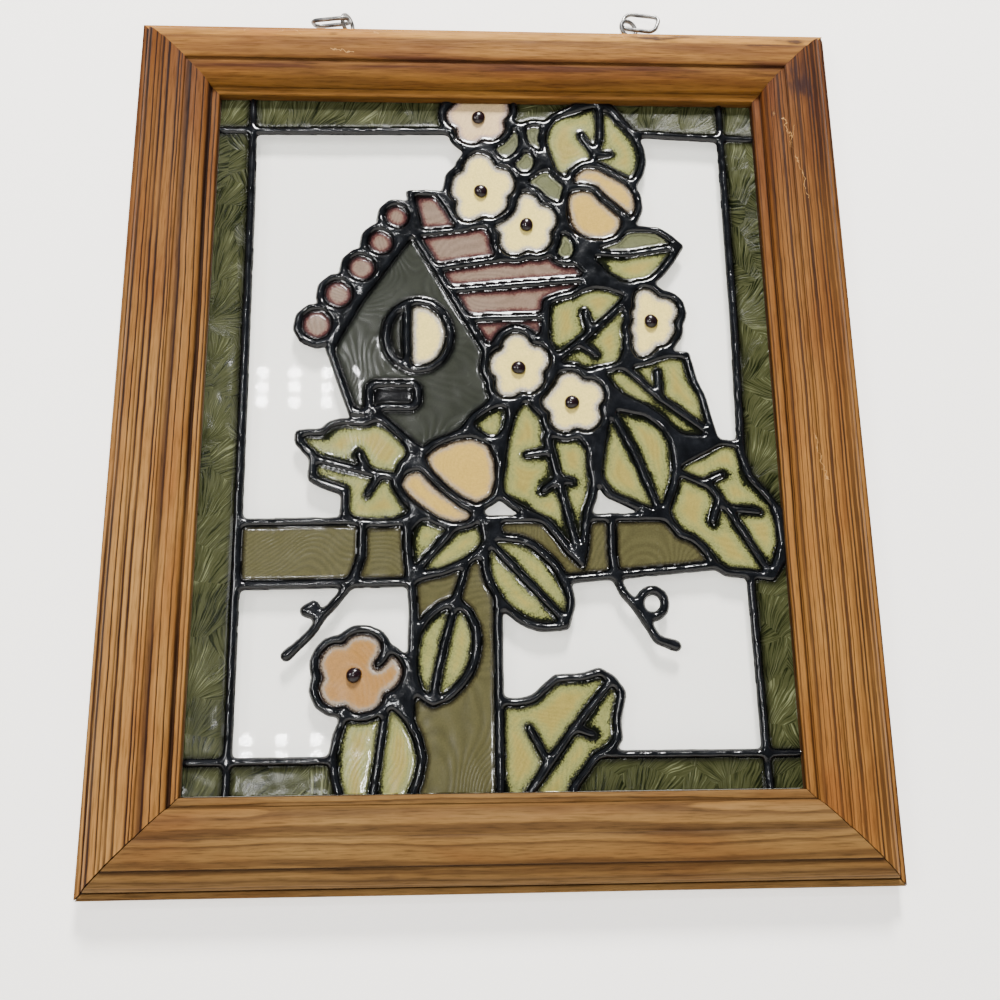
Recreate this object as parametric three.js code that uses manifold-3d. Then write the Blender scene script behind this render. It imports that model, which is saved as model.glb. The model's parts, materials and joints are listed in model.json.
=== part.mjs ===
// A small framed "stained glass" window: four mitred pine mouldings around one sheet of clear
// glass, with raised black leading run onto the front of the glass, translucent enamel poured
// into its cells, domed drops as flower centres, and two screw eyes with wire links to hang it by.
// Millimetres, +Z up, front towards -Y. The origin is on the flat back of the top moulding.

import * as THREE from 'three';
import { mergeVertices } from 'three/addons/utils/BufferGeometryUtils.js';
import Module from 'manifold-3d';

const wasm = await Module();
wasm.setup();

// ---- driving dimensions -------------------------------------------------------------------

const FRAME_W = 406; // outside width of the frame
const FRAME_H = 486; // outside height of the frame
const MOULDING_W = 47; // width of one moulding, outer edge to sight edge
const MITRE_GAP = 0.4; // open joint between two mitred ends

const GLASS_T = 3; // thickness of the glass sheet
const GLASS_BACK = 3; // distance from the back of the frame to the back of the glass
const GROOVE_D = 6; // depth of the groove that holds the glass
const CLEAR = 0.3; // gap kept between pieces that touch

const LEAD_H = 2.9; // height of the leading above the glass
const ENAMEL_T = 1.2; // thickness of the poured enamel
const OUTLINE_W = 4.9; // width of the leading around a figure
const LINE_W = 5; // width of a straight run of leading
const VEIN_W = 4.6; // width of a leaf vein

const DROP_R = 4.2; // radius of a flower centre
const DROP_H = 2.8; // height of a flower centre

const WIRE_R = 1.2; // radius of the wire of the eyes and links
const EYE_R = 5.2; // radius of an eye's ring, at the middle of the wire
const EYE_RISE = 6.7; // height of the ring's middle above the top edge
const EYE_INSET = 5.8; // distance of the eye from the back of the frame
const SHANK = 12; // length of an eye's shank inside the wood
const LINK_L = 21.4; // length of a link, at the middle of the wire
const LINK_W = 11.45; // width of a link, at the middle of the wire
const LINK_CORNER = 4; // corner radius of a link, at the middle of the wire
const SOLID_FILLS = 41; // how many of the largest enamel fills are solids of their own
const LEAST_CELL_W = 2.9; // a gap in the leading narrower than this has closed up

const GLASS_FRONT = GLASS_BACK + GLASS_T;
const SIGHT_X = FRAME_W / 2 - MOULDING_W; // half the sight width
const SIGHT_Z = FRAME_H / 2 - MOULDING_W; // half the sight height

// ---- finishes -----------------------------------------------------------------------------

const finish = (color, roughness, metalness = 0, more = {}) => () =>
  new THREE.MeshStandardMaterial({ color, roughness, metalness, ...more });

const FINISH = {
  pine: finish(0xb8854c, 0.55),
  glass: finish(0xdfe8e6, 0.05, 0, { transparent: true, opacity: 0.25 }),
  leading: finish(0x24262a, 0.25),
  wire: finish(0x4a4744, 0.35, 1),
  drop: finish(0x2c161c, 0.12),
  border: finish(0x5f6e41, 0.3),
  wood_paint: finish(0x7d7646, 0.3),
  leaf: finish(0xb2b278, 0.3),
  sage: finish(0x9aa186, 0.3),
  cream: finish(0xf0deb6, 0.3),
  pink: finish(0xe8d0c8, 0.3),
  peach: finish(0xdeb280, 0.3),
  house: finish(0x50564e, 0.3),
  tile: finish(0xa08279, 0.3),
  black: finish(0x17181b, 0.2),
};

// ---- plane outlines -----------------------------------------------------------------------

const along = (a, b, t) => [a[0] + (b[0] - a[0]) * t, a[1] + (b[1] - a[1]) * t];
const span = (a, b) => Math.hypot(b[0] - a[0], b[1] - a[1]);

// Signed area of a closed outline, positive when it runs anticlockwise.
const areaOf = (ring) =>
  ring.reduce((sum, p, i) => {
    const q = ring[(i + 1) % ring.length];
    return sum + (p[0] * q[1] - q[0] * p[1]) / 2;
  }, 0);

const anticlockwise = (ring) => (areaOf(ring) > 0 ? ring : [...ring].reverse());

const inside = (ring, [x, z]) => {
  let hit = false;
  ring.forEach(([ax, az], i) => {
    const [bx, bz] = ring[(i + 1) % ring.length];
    if (az > z !== bz > z && x < ((bx - ax) * (z - az)) / (bz - az) + ax) hit = !hit;
  });
  return hit;
};

// A smooth open or closed run through a few points, sampled evenly.
function smooth(points, count, closed = false) {
  const curve = new THREE.CatmullRomCurve3(
    points.map(([x, z]) => new THREE.Vector3(x, z, 0)), closed, 'centripetal');
  const samples = curve.getSpacedPoints(count).map((v) => [v.x, v.y]);
  return closed ? samples.slice(0, -1) : samples;
}

// Moves each point of a polyline sideways, with mitred corners cut back at sharp turns.
function offset(points, distance, closed, limit = 1.5) {
  const n = points.length;
  return points.map((p, i) => {
    const before = closed ? points[(i + n - 1) % n] : points[Math.max(i - 1, 0)];
    const after = closed ? points[(i + 1) % n] : points[Math.min(i + 1, n - 1)];
    const a = span(before, p) > 0 ? [(p[0] - before[0]) / span(before, p),
      (p[1] - before[1]) / span(before, p)] : null;
    const b = span(p, after) > 0 ? [(after[0] - p[0]) / span(p, after),
      (after[1] - p[1]) / span(p, after)] : null;
    const u = a ?? b;
    const v = b ?? a;
    const normal = [-(u[1] + v[1]), u[0] + v[0]];
    const length = Math.hypot(...normal) || 1;
    const half = Math.max(length / 2, 1 / limit);
    return [p[0] + (normal[0] / length) * (distance / half),
      p[1] + (normal[1] / length) * (distance / half)];
  });
}

// The closed outline of a run of leading along an open line, round at both ends.
function bead(points, width, endWidth = width) {
  const left = offset(points, width / 2, false);
  const right = offset(points, -width / 2, false).reverse();
  const cap = (tip, from, radius) => {
    const heading = Math.atan2(tip[1] - from[1], tip[0] - from[0]);
    return [-1.25, -0.42, 0.42, 1.25].map((turn) => [
      tip[0] + radius * Math.cos(heading - turn), tip[1] + radius * Math.sin(heading - turn)]);
  };
  const last = points.length - 1;
  return anticlockwise([
    ...left.slice(1, -1), ...cap(points[last], points[last - 1], endWidth / 2),
    ...right.slice(1, -1), ...cap(points[0], points[1], width / 2)]);
}

const LEAST_TOLERANCE = 0.02;

// Whether a closed outline crosses itself.
function crosses(ring) {
  const edges = ring.map((p, i) => [p, ring[(i + 1) % ring.length]]);
  const side = ([a, b], c) => Math.sign(
    (b[0] - a[0]) * (c[1] - a[1]) - (b[1] - a[1]) * (c[0] - a[0]));
  return edges.some((e, i) => edges.slice(i + 2, i ? undefined : -1).some((f) =>
    side(e, f[0]) !== side(e, f[1]) && side(f, e[0]) !== side(f, e[1])));
}

// Drops the points of a closed outline that lie within a tolerance of a straight run, or within
// less where the outline would then cross itself.
function simplify(ring, tolerance) {
  const far = (points) => {
    const a = points[0];
    const b = points[points.length - 1];
    const base = span(a, b) || 1;
    let best = 0;
    let at = 0;
    for (let i = 1; i < points.length - 1; i += 1) {
      const p = points[i];
      const d = Math.abs((b[0] - a[0]) * (a[1] - p[1]) - (a[0] - p[0]) * (b[1] - a[1])) / base;
      if (d > best) [best, at] = [d, i];
    }
    if (best <= tolerance) return [a];
    return [...far(points.slice(0, at + 1)), ...far(points.slice(at))];
  };
  const start = ring.reduce((k, p, i) => (p[0] < ring[k][0] ? i : k), 0);
  const turned = [...ring.slice(start), ...ring.slice(0, start)];
  const split = turned.reduce((k, p, i) => (span(p, turned[0]) > span(turned[k], turned[0]) ? i : k), 0);
  const short = [...far(turned.slice(0, split + 1)), ...far([...turned.slice(split), turned[0]])];
  return tolerance > LEAST_TOLERANCE && crosses(short) ? simplify(ring, tolerance / 2) : short;
}

// ---- solids -------------------------------------------------------------------------------

const path = (ring, Kind = THREE.Path) => new Kind(ring.map(([x, z]) => new THREE.Vector2(x, z)));

// A flat plate of an outline with holes, extruded along +Z from 0.
function plate(ring, holes, depth) {
  const shape = path(ring, THREE.Shape);
  shape.holes = holes.map((hole) => path(hole));
  return new THREE.ExtrudeGeometry(shape, { depth, bevelEnabled: false, curveSegments: 1 });
}

function solid(geometry) {
  geometry.deleteAttribute('normal');
  geometry.deleteAttribute('uv');
  const merged = mergeVertices(geometry, 1e-4);
  return new wasm.Manifold(new wasm.Mesh({
    numProp: 3,
    vertProperties: new Float32Array(merged.attributes.position.array),
    triVerts: new Uint32Array(merged.index.array),
  }));
}

const plateSolid = (ring, holes = []) => solid(plate(anticlockwise(ring), holes, 1));

// The closed outlines of the top face of a flat solid: anticlockwise outside, clockwise holes.
function topRings(manifold) {
  const mesh = manifold.getMesh();
  const at = (i) => [mesh.vertProperties[i * 3], mesh.vertProperties[i * 3 + 1]];
  const isTop = (i) => mesh.vertProperties[i * 3 + 2] > 0.5;
  const edges = new Set();
  for (let t = 0; t < mesh.triVerts.length; t += 3) {
    const corner = [...mesh.triVerts.slice(t, t + 3)];
    if (corner.every(isTop)) corner.forEach((c, k) => edges.add(`${c},${corner[(k + 1) % 3]}`));
  }
  const next = new Map();
  edges.forEach((edge) => {
    const [a, b] = edge.split(',').map(Number);
    if (!edges.has(`${b},${a}`)) next.set(a, [...(next.get(a) ?? []), b]);
  });
  const rings = [];
  for (const start of next.keys()) {
    while (next.get(start).length) {
      const ring = [];
      let here = start;
      do {
        ring.push(at(here));
        here = next.get(here).pop();
      } while (here !== start);
      rings.push(ring);
    }
  }
  return rings;
}

// Sorts the outlines of a flat solid into separate plates, each with its own holes.
function plates(manifold, tolerance) {
  const rings = topRings(manifold).map((ring) => simplify(ring, tolerance))
    .filter((ring) => ring.length > 2);
  const outers = rings.filter((ring) => areaOf(ring) > 0)
    .sort((a, b) => areaOf(a) - areaOf(b));
  const found = outers.map((ring) => ({ ring, holes: [] }));
  rings.filter((ring) => areaOf(ring) < 0).forEach((hole) => {
    found.find(({ ring }) => inside(ring, along(hole[0], hole[1], 0.5)))?.holes.push(hole);
  });
  return found;
}

// ---- figures of the picture ---------------------------------------------------------------
// A figure is a closed outline that leading follows, with veins of leading on it. Points are
// [x, z] from the middle of the sight opening.

// A leaf from base to tip, with its half widths at even stations on its left and right.
function leaf(name, kind, base, tip, left, right, veins = []) {
  const count = left.length > 4 ? 12 : 8;
  const length = span(base, tip);
  const dir = [(tip[0] - base[0]) / length, (tip[1] - base[1]) / length];
  const side = (widths, sign) => widths.map((w, i) => {
    const [x, z] = along(base, tip, (i + 1) / (widths.length + 1));
    return [x - sign * dir[1] * w, z + sign * dir[0] * w];
  });
  const leftRun = smooth([base, ...side(left, 1), tip], count);
  const rightRun = smooth([tip, ...side(right, -1).reverse(), base], count);
  return { name, kind, outline: [...leftRun.slice(0, -1), ...rightRun.slice(0, -1)], veins };
}

// A flower of five round petals of given lengths, the first one at an angle in degrees.
function flower(name, kind, centre, turn, petals, veins = []) {
  const steps = [0, 0.22, 0.4, 0.5, 0.6, 0.78];
  const notch = 0.19;
  const outline = petals.flatMap((length, k) => {
    const after = petals[(k + 1) % petals.length];
    return steps.map((t) => {
      const mean = length + (after - length) * t;
      const dip = 1 - notch * (1 - Math.abs(Math.cos(Math.PI * t)) ** 0.7);
      const angle = ((turn + (360 / petals.length) * (k + t)) * Math.PI) / 180;
      return [centre[0] + mean * dip * Math.cos(angle), centre[1] + mean * dip * Math.sin(angle)];
    });
  });
  return { name, kind, outline, veins, centre };
}

// A rounded blob through a few points.
const blob = (name, kind, points, count = 12) =>
  ({ name, kind, outline: smooth(points, count, true), veins: [] });

const oval = (name, kind, [x, z], rx, rz, tilt = 0, count = 10) => {
  const turn = (tilt * Math.PI) / 180;
  const outline = Array.from({ length: count }, (_, i) => {
    const a = (i / count) * 2 * Math.PI;
    const [u, v] = [rx * Math.cos(a), rz * Math.sin(a)];
    return [x + u * Math.cos(turn) - v * Math.sin(turn), z + u * Math.sin(turn) + v * Math.cos(turn)];
  });
  return { name, kind, outline, veins: [] };
};

const panel = (name, kind, outline, veins = []) => ({ name, kind, outline, veins });

const vein = (points, width = VEIN_W) => ({ points, width });

const FLOWERS = [
  flower('flower_top', 'pink', [-6, 186], 100, [20, 22, 21, 20, 23]),
  flower('flower_ridge', 'cream', [-5, 138], 95, [28, 20, 24, 20.5, 24]),
  flower('flower_roof', 'cream', [21, 117], 92, [24, 22, 24, 21, 21]),
  flower('flower_right', 'cream', [90, 58], 105, [24, 12.5, 26, 17, 21]),
  flower('flower_middle', 'cream', [15, 30], 96, [24, 19, 22, 19, 21.5]),
  flower('flower_low', 'cream', [44, 10], 98, [21, 19.5, 21, 22, 22]),
  flower('flower_fallen', 'peach', [-72, -137], 75, [24.5, 22.5, 23, 22.5, 28],
    [vein([[-56, -121], [-56.5, -128], [-60, -132]])]),
];

const BUDS = [
  blob('bud_front', 'cream', [[45, 140], [60, 141], [67, 133], [79, 122], [73, 109], [58, 106],
    [45, 114]], 14),
  blob('bud_back', 'cream', [[46, 142], [50, 154], [60, 157], [73, 150], [84, 142], [87, 130],
    [82, 119], [62, 112]], 14),
  blob('petal_upper', 'cream', [[-39, -21], [-15, -8], [1, -14], [2, -42], [-7, -50], [-25, -40]]),
  blob('petal_lower', 'cream', [[-52, -37], [-43, -25], [-34, -30], [-20, -45], [-6, -54],
    [-20, -60], [-38, -52]]),
  blob('bud_small', 'leaf', [[-13, -3], [0, 8], [9, 10], [9, -4], [2, -13], [-7, -9]], 10),
];

const LEAVES = [
  leaf('leaf_pair', 'leaf', [55, 99], [109, 105], [8, 13, 13, 11], [16, 22, 21, 13],
    [vein([[53, 100], [78, 99], [106, 104]])]),
  leaf('leaf_side', 'leaf', [64, 8], [91, -55], [19, 24, 22, 14], [9, 18, 23, 12],
    [vein([[65, 6], [78, -20], [90, -53]])]),
  leaf('leaf_under_right', 'leaf', [60, 29], [122, -10], [8, 18, 28, 34, 24, 18, 9],
    [5, 7, 6, 6, 7, 10, 7], [vein([[75, 30], [92, 13.5], [120, -8]]), vein([[93, 12], [92, 28]])]),
  leaf('leaf_upper', 'leaf', [34, 33], [80, 74], [14, 22, 29, 26, 22, 21, 14],
    [16, 20, 26, 25, 21, 16, 10],
    [vein([[34, 33], [56, 51], [79, 73]]), vein([[56, 51], [53, 64]]), vein([[50, 44], [59, 38]])]),
  leaf('leaf_centre', 'leaf', [18, 14], [47, -80], [6, 18, 25, 22, 20, 11, 6],
    [14, 20, 26, 30, 21, 9, 6],
    [vein([[30, -10], [36, -36], [46, -78]]), vein([[32, -18], [18, -20]]),
      vein([[35, -34], [27, -40]]), vein([[35, -34], [43, -35]])]),
  { ...blob('ivy_left', 'leaf', [[-63, 1], [-55, -4], [-46, -13], [-43, -20], [-50, -28],
    [-46, -44], [-41, -52], [-50, -57], [-66, -57.5], [-76, -56], [-80, -49], [-78, -41],
    [-91, -36], [-98, -31], [-95, -23], [-101, -16], [-106.5, -9], [-100, -7], [-91, -7],
    [-87, -2], [-78, -1], [-69, -2]], 34),
  veins: [vein([[-46, -34], [-70, -29], [-94, -22.5]]), vein([[-67, -30], [-72, -19]]),
    vein([[-61, -32], [-67, -42]])] },
  leaf('ivy_right', 'leaf', [98, -27], [148, -88], [36, 34, 29, 29, 29, 24, 17],
    [16, 21, 22, 17, 18, 18, 8],
    [vein([[99, -29], [118, -38], [129, -54], [146, -84]]), vein([[114, -36], [125, -31]]),
      vein([[122, -45], [118, -58]]), vein([[127, -50], [144, -52]])]),
  leaf('leaf_hanging', 'leaf', [-3, -65], [37.5, -112.5], [8, 14, 16, 17, 16.5, 14.5, 11],
    [9, 14, 16.5, 17.5, 17, 15, 10.5], [vein([[-2, -68], [37, -110]])]),
  leaf('leaf_knot', 'leaf', [-7, -52], [-43, -86], [15, 15, 12, 8], [10, 17, 21, 14],
    [vein([[-13, -52], [-23, -63], [-41, -84]])]),
  { ...blob('leaf_almond', 'leaf', [[-20, -99.5], [-37, -110.5], [-42, -130], [-38, -147.5],
    [-31, -151.5], [-18.5, -144], [-9.5, -128], [-10.5, -110.5]], 16),
  veins: [vein([[-20, -101], [-25.5, -120], [-29, -135], [-31.5, -150]])] },
  leaf('leaf_foot', 'leaf', [-61, -145], [-62, -210], [16, 23, 24.5, 17.5], [15, 19.5, 20, 15],
    [vein([[-55, -150], [-58, -172], [-63, -202]])]),
  leaf('ivy_top', 'leaf', [56, 138], [67, 198], [19, 24, 28, 31, 30, 26, 13],
    [24, 28, 30, 29, 26, 19, 8], [vein([[59, 154], [65, 172], [66, 200]]),
      vein([[62, 162], [58, 169], [54, 176]]), vein([[62, 162], [71, 163]])]),
  oval('leaf_drop', 'sage', [42, 104], 8.5, 11, 20),
  oval('leaf_tip', 'sage', [10.5, 170], 9.5, 13, -15),
  oval('berry', 'sage', [20.5, 157], 8.5, 9.5, -20),
  blob('leaf_wedge', 'sage', [[19, 145], [32, 154], [46, 150], [44, 128]], 9),
  blob('leaf_chip', 'sage', [[19, 181], [37, 181], [33, 162], [24, 164]], 8),
];

const IVY_FOOT = {
  ...blob('ivy_foot', 'leaf', [[-4, -153], [18, -151], [34, -138.5], [42, -140.5], [55, -136.5],
    [66, -149], [62, -158], [62.5, -172], [50, -180], [40, -193], [25, -203], [-4, -206]], 30),
  veins: [vein([[10, -202], [28, -180], [60, -141]]), vein([[26, -181], [17, -164]]),
    vein([[39, -165], [50, -168]])],
};

// The nest box: its front, the round hole with a bar down it, the perch and the roof edges.
const HOLE = { ...oval('hole', 'cream', [-40.5, 49], 18, 20.5, 0, 16),
  veins: [vein([[-46.5, 69], [-47, 49], [-46, 29]])] };
const PERCH = panel('perch', 'black', [[-67, 4], [-67, 18], [-64, 20.5], [-43, 20.5],
  [-40.5, 18], [-40.5, 9.5], [-43, 7], [-60, 7]]);
const HOUSE = panel('house_front', 'house', [[-44, 112], [-73, 71], [-89, 40.5], [-76, 4],
  [-63, 3], [-50, -8], [-38, -19], [-14, -6], [4, 14], [-1, 38]]);
const TILE_CENTRES = [[-53, 121.5], [-62, 105.5], [-72.5, 89.5], [-85, 73.5], [-96.5, 55]];
const TILES = TILE_CENTRES.map((at, i) => oval(`edge_tile_${i + 1}`, 'tile', at, 9.6 + i * 0.4,
  10 + i * 0.4, 30, 9));
const RIDGE_TILE = panel('ridge_tile', 'tile', [[-46, 137], [-30, 137], [-15, 114], [-40, 111]]);
const ROOF = panel('roof', 'tile', [[-44, 112], [-30, 113], [20, 121], [57, 86], [57, 81],
  [34, 67], [31, 56], [26, 38], [-3, 36], [-30, 60]],
[vein([[-34, 89], [0, 95], [20, 98]], LINE_W), vein([[-26, 76], [58, 84]], LINE_W),
  vein([[-14, 59], [32, 61]], LINE_W)]);

// The fence that the nest box hangs on, and the two tendrils in front of its rail.
const POST = panel('post', 'wood_paint', [[-46, -57], [2, -57], [2.5, -204], [-44.5, -204],
  [-42, -105]], [vein([[-42, -88], [-14, -80], [-20, -99]], LINE_W)]);
const RAIL = panel('rail', 'wood_paint', [[-134.5, -57], [136, -54], [137, -79.5], [40, -88],
  [-134, -90.5]]);
const TENDRILS = [
  vein(smooth([[-69.5, -56], [-69.5, -76], [-77, -93], [-88, -105], [-94, -114.5],
    [-107, -127]], 9), LINE_W),
  vein([[-87.5, -104.5], [-92.5, -105.8], [-97.5, -104.2]], LINE_W),
  vein([[-99, -103.5], [-93.5, -101.2]], LINE_W),
  vein(smooth([[63.5, -54], [64, -84], [70, -98], [78, -106], [84, -119], [95, -123.5]], 8), LINE_W),
];
const TENDRIL_END_W = 7;
const CLEAR_PANE = { name: 'pane', kind: 'none' };
const CURL = oval('curl', 'none', [83.5, -101], 7, 7.4, 0, 10);

// The plain runs of leading that part the green border from the clear panes, and last the short
// one that ties the leaves on the right to it.
const BORDER_LINES = [
  [[-137.5, 200], [-136, 130], [-134.5, -57], [-134, -200]],
  [[137, 200], [137.5, 60], [136, -55], [139, -200]],
  [[-160, 175.5], [-20, 177.5]],
  [[-20, 177.5], [90, 177]],
  [[90, 177], [160, 173.5]],
  [[-160, -179.5], [-70, -179.5]],
  [[48, -178], [160, -178.5]],
  [[98, -15.5], [136, -15.5]],
];

// ---- leading and cells --------------------------------------------------------------------

// Figures from front to back: each one hides what lies behind its outline.
const PICTURE = [...FLOWERS, ...BUDS, ...LEAVES, HOLE, PERCH, ...TILES, RIDGE_TILE, HOUSE, ROOF];

const union = (a, b) => (a ? a.add(b) : b);
const closedBand = (ring, width) => {
  const loop = anticlockwise(ring);
  return plateSolid(offset(loop, -width / 2, true)).subtract(
    plateSolid(offset(loop, width / 2, true)));
};

let hidden = null;
let leadingSolid = null;
const layFigure = (figure, width) => {
  let band = closedBand(figure.outline, width);
  figure.veins.forEach(({ points, width: w }) => {
    const run = plateSolid(bead(points, w));
    band = band.add(run.intersect(plateSolid(figure.outline)));
  });
  leadingSolid = union(leadingSolid, hidden ? band.subtract(hidden) : band);
  hidden = union(hidden, plateSolid(figure.outline));
};
const layRun = ({ points, width }, endWidth) => {
  leadingSolid = leadingSolid.add(plateSolid(bead(points, width, endWidth)).subtract(hidden));
};

PICTURE.forEach((figure) => layFigure(figure, OUTLINE_W));
TENDRILS.forEach((run) => layRun(run, TENDRIL_END_W));
leadingSolid = leadingSolid.add(closedBand(CURL.outline, LINE_W));
[POST, RAIL].forEach((figure) => layFigure(figure, LINE_W));
layFigure(IVY_FOOT, OUTLINE_W);
BORDER_LINES.forEach((points) => layRun(vein(points, LINE_W)));

const sight = [[-1, -1], [1, -1], [1, 1], [-1, 1]].map(([sx, sz]) =>
  [sx * (SIGHT_X - CLEAR), sz * (SIGHT_Z - CLEAR)]);
leadingSolid = leadingSolid.intersect(plateSolid(sight));

// Twice the area over the length round it: the mean width of a long or a round cell.
const meanWidth = (ring) => {
  const round = ring.reduce((sum, p, i) => sum + span(p, ring[(i + 1) % ring.length]), 0);
  return (Math.abs(areaOf(ring)) * 2) / round;
};
const isOpen = (ring) => meanWidth(ring) > LEAST_CELL_W;
const TOLERANCE = 0.36;
const LEADING = plates(leadingSolid, TOLERANCE).map(({ ring, holes }) => (
  { ring, holes: holes.filter(isOpen) }));

// The cells that the leading leaves open, a little smaller all round than the gaps themselves.
// A cell pinched to nothing by the leading is two cells. An edge too short for the offset turns
// back on itself, and is dropped.
const grown = (ring) => offset(ring, -(CLEAR + TOLERANCE), true).filter(([x, z], i, moved) => {
  const [p, q] = [ring[i], ring[(i + 1) % ring.length]];
  const [nextX, nextZ] = moved[(i + 1) % ring.length];
  return (nextX - x) * (q[0] - p[0]) + (nextZ - z) * (q[1] - p[1]) > 0;
});
const cellsSolid = LEADING.reduce((rest, { ring, holes }) =>
  rest.subtract(plateSolid(grown(ring), holes.map(grown))), plateSolid(sight));
const apart = ({ ring, holes }) => plateSolid(ring, holes).decompose()
  .flatMap((body) => plates(body, 0));
const CELLS = plates(cellsSolid, TOLERANCE).flatMap(apart).filter(({ ring }) => isOpen(ring));

// A point well inside a cell: the middle of the largest triangle that the cell divides into.
function middleOf({ ring, holes }) {
  const at = (points) => points.map(([x, z]) => new THREE.Vector2(x, z));
  const corners = [ring, ...holes].flat();
  const triangles = THREE.ShapeUtils.triangulateShape(at(ring), holes.map(at))
    .map((triangle) => triangle.map((i) => corners[i]));
  const size = (triangle) => Math.abs(areaOf(triangle));
  const largest = triangles.reduce((best, next) => (size(next) > size(best) ? next : best));
  return [0, 1].map((k) => largest.reduce((sum, p) => sum + p[k] / 3, 0));
}

// A cell belongs to the front figure at its middle, to the border outside the border lines, or
// else it is a clear pane with no enamel.
const PANE = { left: -135, right: 137, foot: -178, head: 176 };
const BORDER = { name: 'border', kind: 'border' };
function figureAt([x, z]) {
  const figure = [...PICTURE, CURL, POST, RAIL, IVY_FOOT].find(({ outline }) =>
    inside(outline, [x, z]));
  const isPane = x > PANE.left && x < PANE.right && z > PANE.foot && z < PANE.head;
  return figure ?? (isPane ? CLEAR_PANE : BORDER);
}

const FILLS = CELLS.map((cell) => ({ ...cell, middle: middleOf(cell), size: areaOf(cell.ring) }))
  .map((cell) => ({ ...cell, figure: figureAt(cell.middle) }))
  .filter(({ figure }) => figure.kind !== 'none')
  .sort((a, b) => a.middle[0] - b.middle[0]);
FILLS.forEach((cell) => {
  const kin = FILLS.filter(({ figure }) => figure === cell.figure);
  cell.name = kin.length > 1 ? `${cell.figure.name}_${kin.indexOf(cell) + 1}` : cell.figure.name;
});
const SOLID = [...FILLS].sort((a, b) => b.size - a.size).slice(0, SOLID_FILLS);

// ---- frame --------------------------------------------------------------------------------

// Section of the moulding: [inset from the outer edge, height above the back]. From the outer
// edge: a narrow lip, a swelling band, a raised middle field, a second band and the sight lip,
// then the groove for the glass.
const arc = (from, to, count, bulge) => Array.from({ length: count + 1 }, (_, i) => {
  const a = (i / count) * (Math.PI / 2);
  const [p, q] = bulge === 'rise' ? [1 - Math.cos(a), Math.sin(a)] : [Math.sin(a), 1 - Math.cos(a)];
  return [from[0] + (to[0] - from[0]) * p, from[1] + (to[1] - from[1]) * q];
});
const GROOVE_BACK = GLASS_BACK - CLEAR;
const GROOVE_FRONT = GLASS_FRONT + CLEAR;
const SECTION = [
  [0, 0], [0, 10.4], [0.6, 11], [3.4, 11.4], [3.7, 10.9],
  ...arc([4, 11.8], [14.2, 20.3], 4, 'rise'),
  [14.6, 21.4], [18, 21.9], [21.6, 22], [25.2, 21.9], [28.5, 21.4],
  ...arc([28.9, 20.2], [42, 13.2], 4, 'fall'),
  [42.4, 12.6], [46.4, 12.4], [MOULDING_W, 11.8],
  [MOULDING_W, GROOVE_FRONT], [MOULDING_W - GROOVE_D, GROOVE_FRONT],
  [MOULDING_W - GROOVE_D, GROOVE_BACK], [MOULDING_W, GROOVE_BACK], [MOULDING_W, 0],
];

// A moulding along X with mitred ends: outer edge at z = 0, back at y = 0, front towards -Y.
function moulding(length) {
  const geometry = plate(anticlockwise(SECTION), [], 1);
  const position = geometry.attributes.position;
  for (let i = 0; i < position.count; i += 1) {
    const [inset, height, end] = [position.getX(i), position.getY(i), position.getZ(i) > 0.5];
    const reach = length / 2 - inset - MITRE_GAP * Math.SQRT1_2;
    position.setXYZ(i, end ? -reach : reach, -height, -inset);
  }
  return geometry;
}

function turnedMesh(name, geometry, material, place, turn = [0, 0, 0]) {
  geometry.computeVertexNormals();
  const mesh = new THREE.Mesh(geometry, material());
  mesh.name = name;
  mesh.position.set(...place);
  mesh.rotation.set(...turn);
  return mesh;
}

const toGeometry = (manifold) => {
  const { vertProperties, triVerts } = manifold.getMesh();
  const geometry = new THREE.BufferGeometry();
  geometry.setAttribute('position', new THREE.BufferAttribute(vertProperties, 3));
  geometry.setIndex(new THREE.BufferAttribute(triVerts, 1));
  return geometry;
};

// The two screw eyes and the links in them, which lie as they fell. Each eye is at x and turned
// about its shank; each link's middle is measured from the middle of the top edge.
const HANGERS = [
  { side: 'left', x: -84, turn: 60, link: { at: [-93.5, -7.5, 6.5], turns: [21.9, -1.6, -7.5] } },
  { side: 'right', x: 85.7, turn: 23.3,
    link: { at: [92.75, -6.85, 10.2], turns: [81.2, 18.3, -15.7] } },
];

// The top moulding is bored from its outer edge for the shanks of the two screw eyes.
function boredMoulding(length) {
  return toGeometry(HANGERS.reduce((rail, { x }) => {
    const bore = new THREE.CylinderGeometry(WIRE_R + CLEAR, WIRE_R + CLEAR, SHANK * 2, 12);
    bore.rotateX(Math.PI / 2);
    bore.translate(x, -EYE_INSET, 0);
    return rail.subtract(solid(bore));
  }, solid(moulding(length))));
}

const halfW = FRAME_W / 2;
const halfH = FRAME_H / 2;
const FRAME = [
  turnedMesh('frame_rail_top', boredMoulding(FRAME_W), FINISH.pine, [0, 0, halfH]),
  turnedMesh('frame_rail_bottom', moulding(FRAME_W), FINISH.pine, [0, 0, -halfH], [0, Math.PI, 0]),
  turnedMesh('frame_stile_left', moulding(FRAME_H), FINISH.pine, [-halfW, 0, 0], [0, -Math.PI / 2, 0]),
  turnedMesh('frame_stile_right', moulding(FRAME_H), FINISH.pine, [halfW, 0, 0], [0, Math.PI / 2, 0]),
];

// ---- glass, leading, enamel and drops -----------------------------------------------------

const glassEdge = GROOVE_D - 2 * CLEAR;
const GLASS = turnedMesh('glass_sheet',
  new THREE.BoxGeometry((SIGHT_X + glassEdge) * 2, GLASS_T, (SIGHT_Z + glassEdge) * 2),
  FINISH.glass, [0, -(GLASS_BACK + GLASS_T / 2), 0]);

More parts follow.
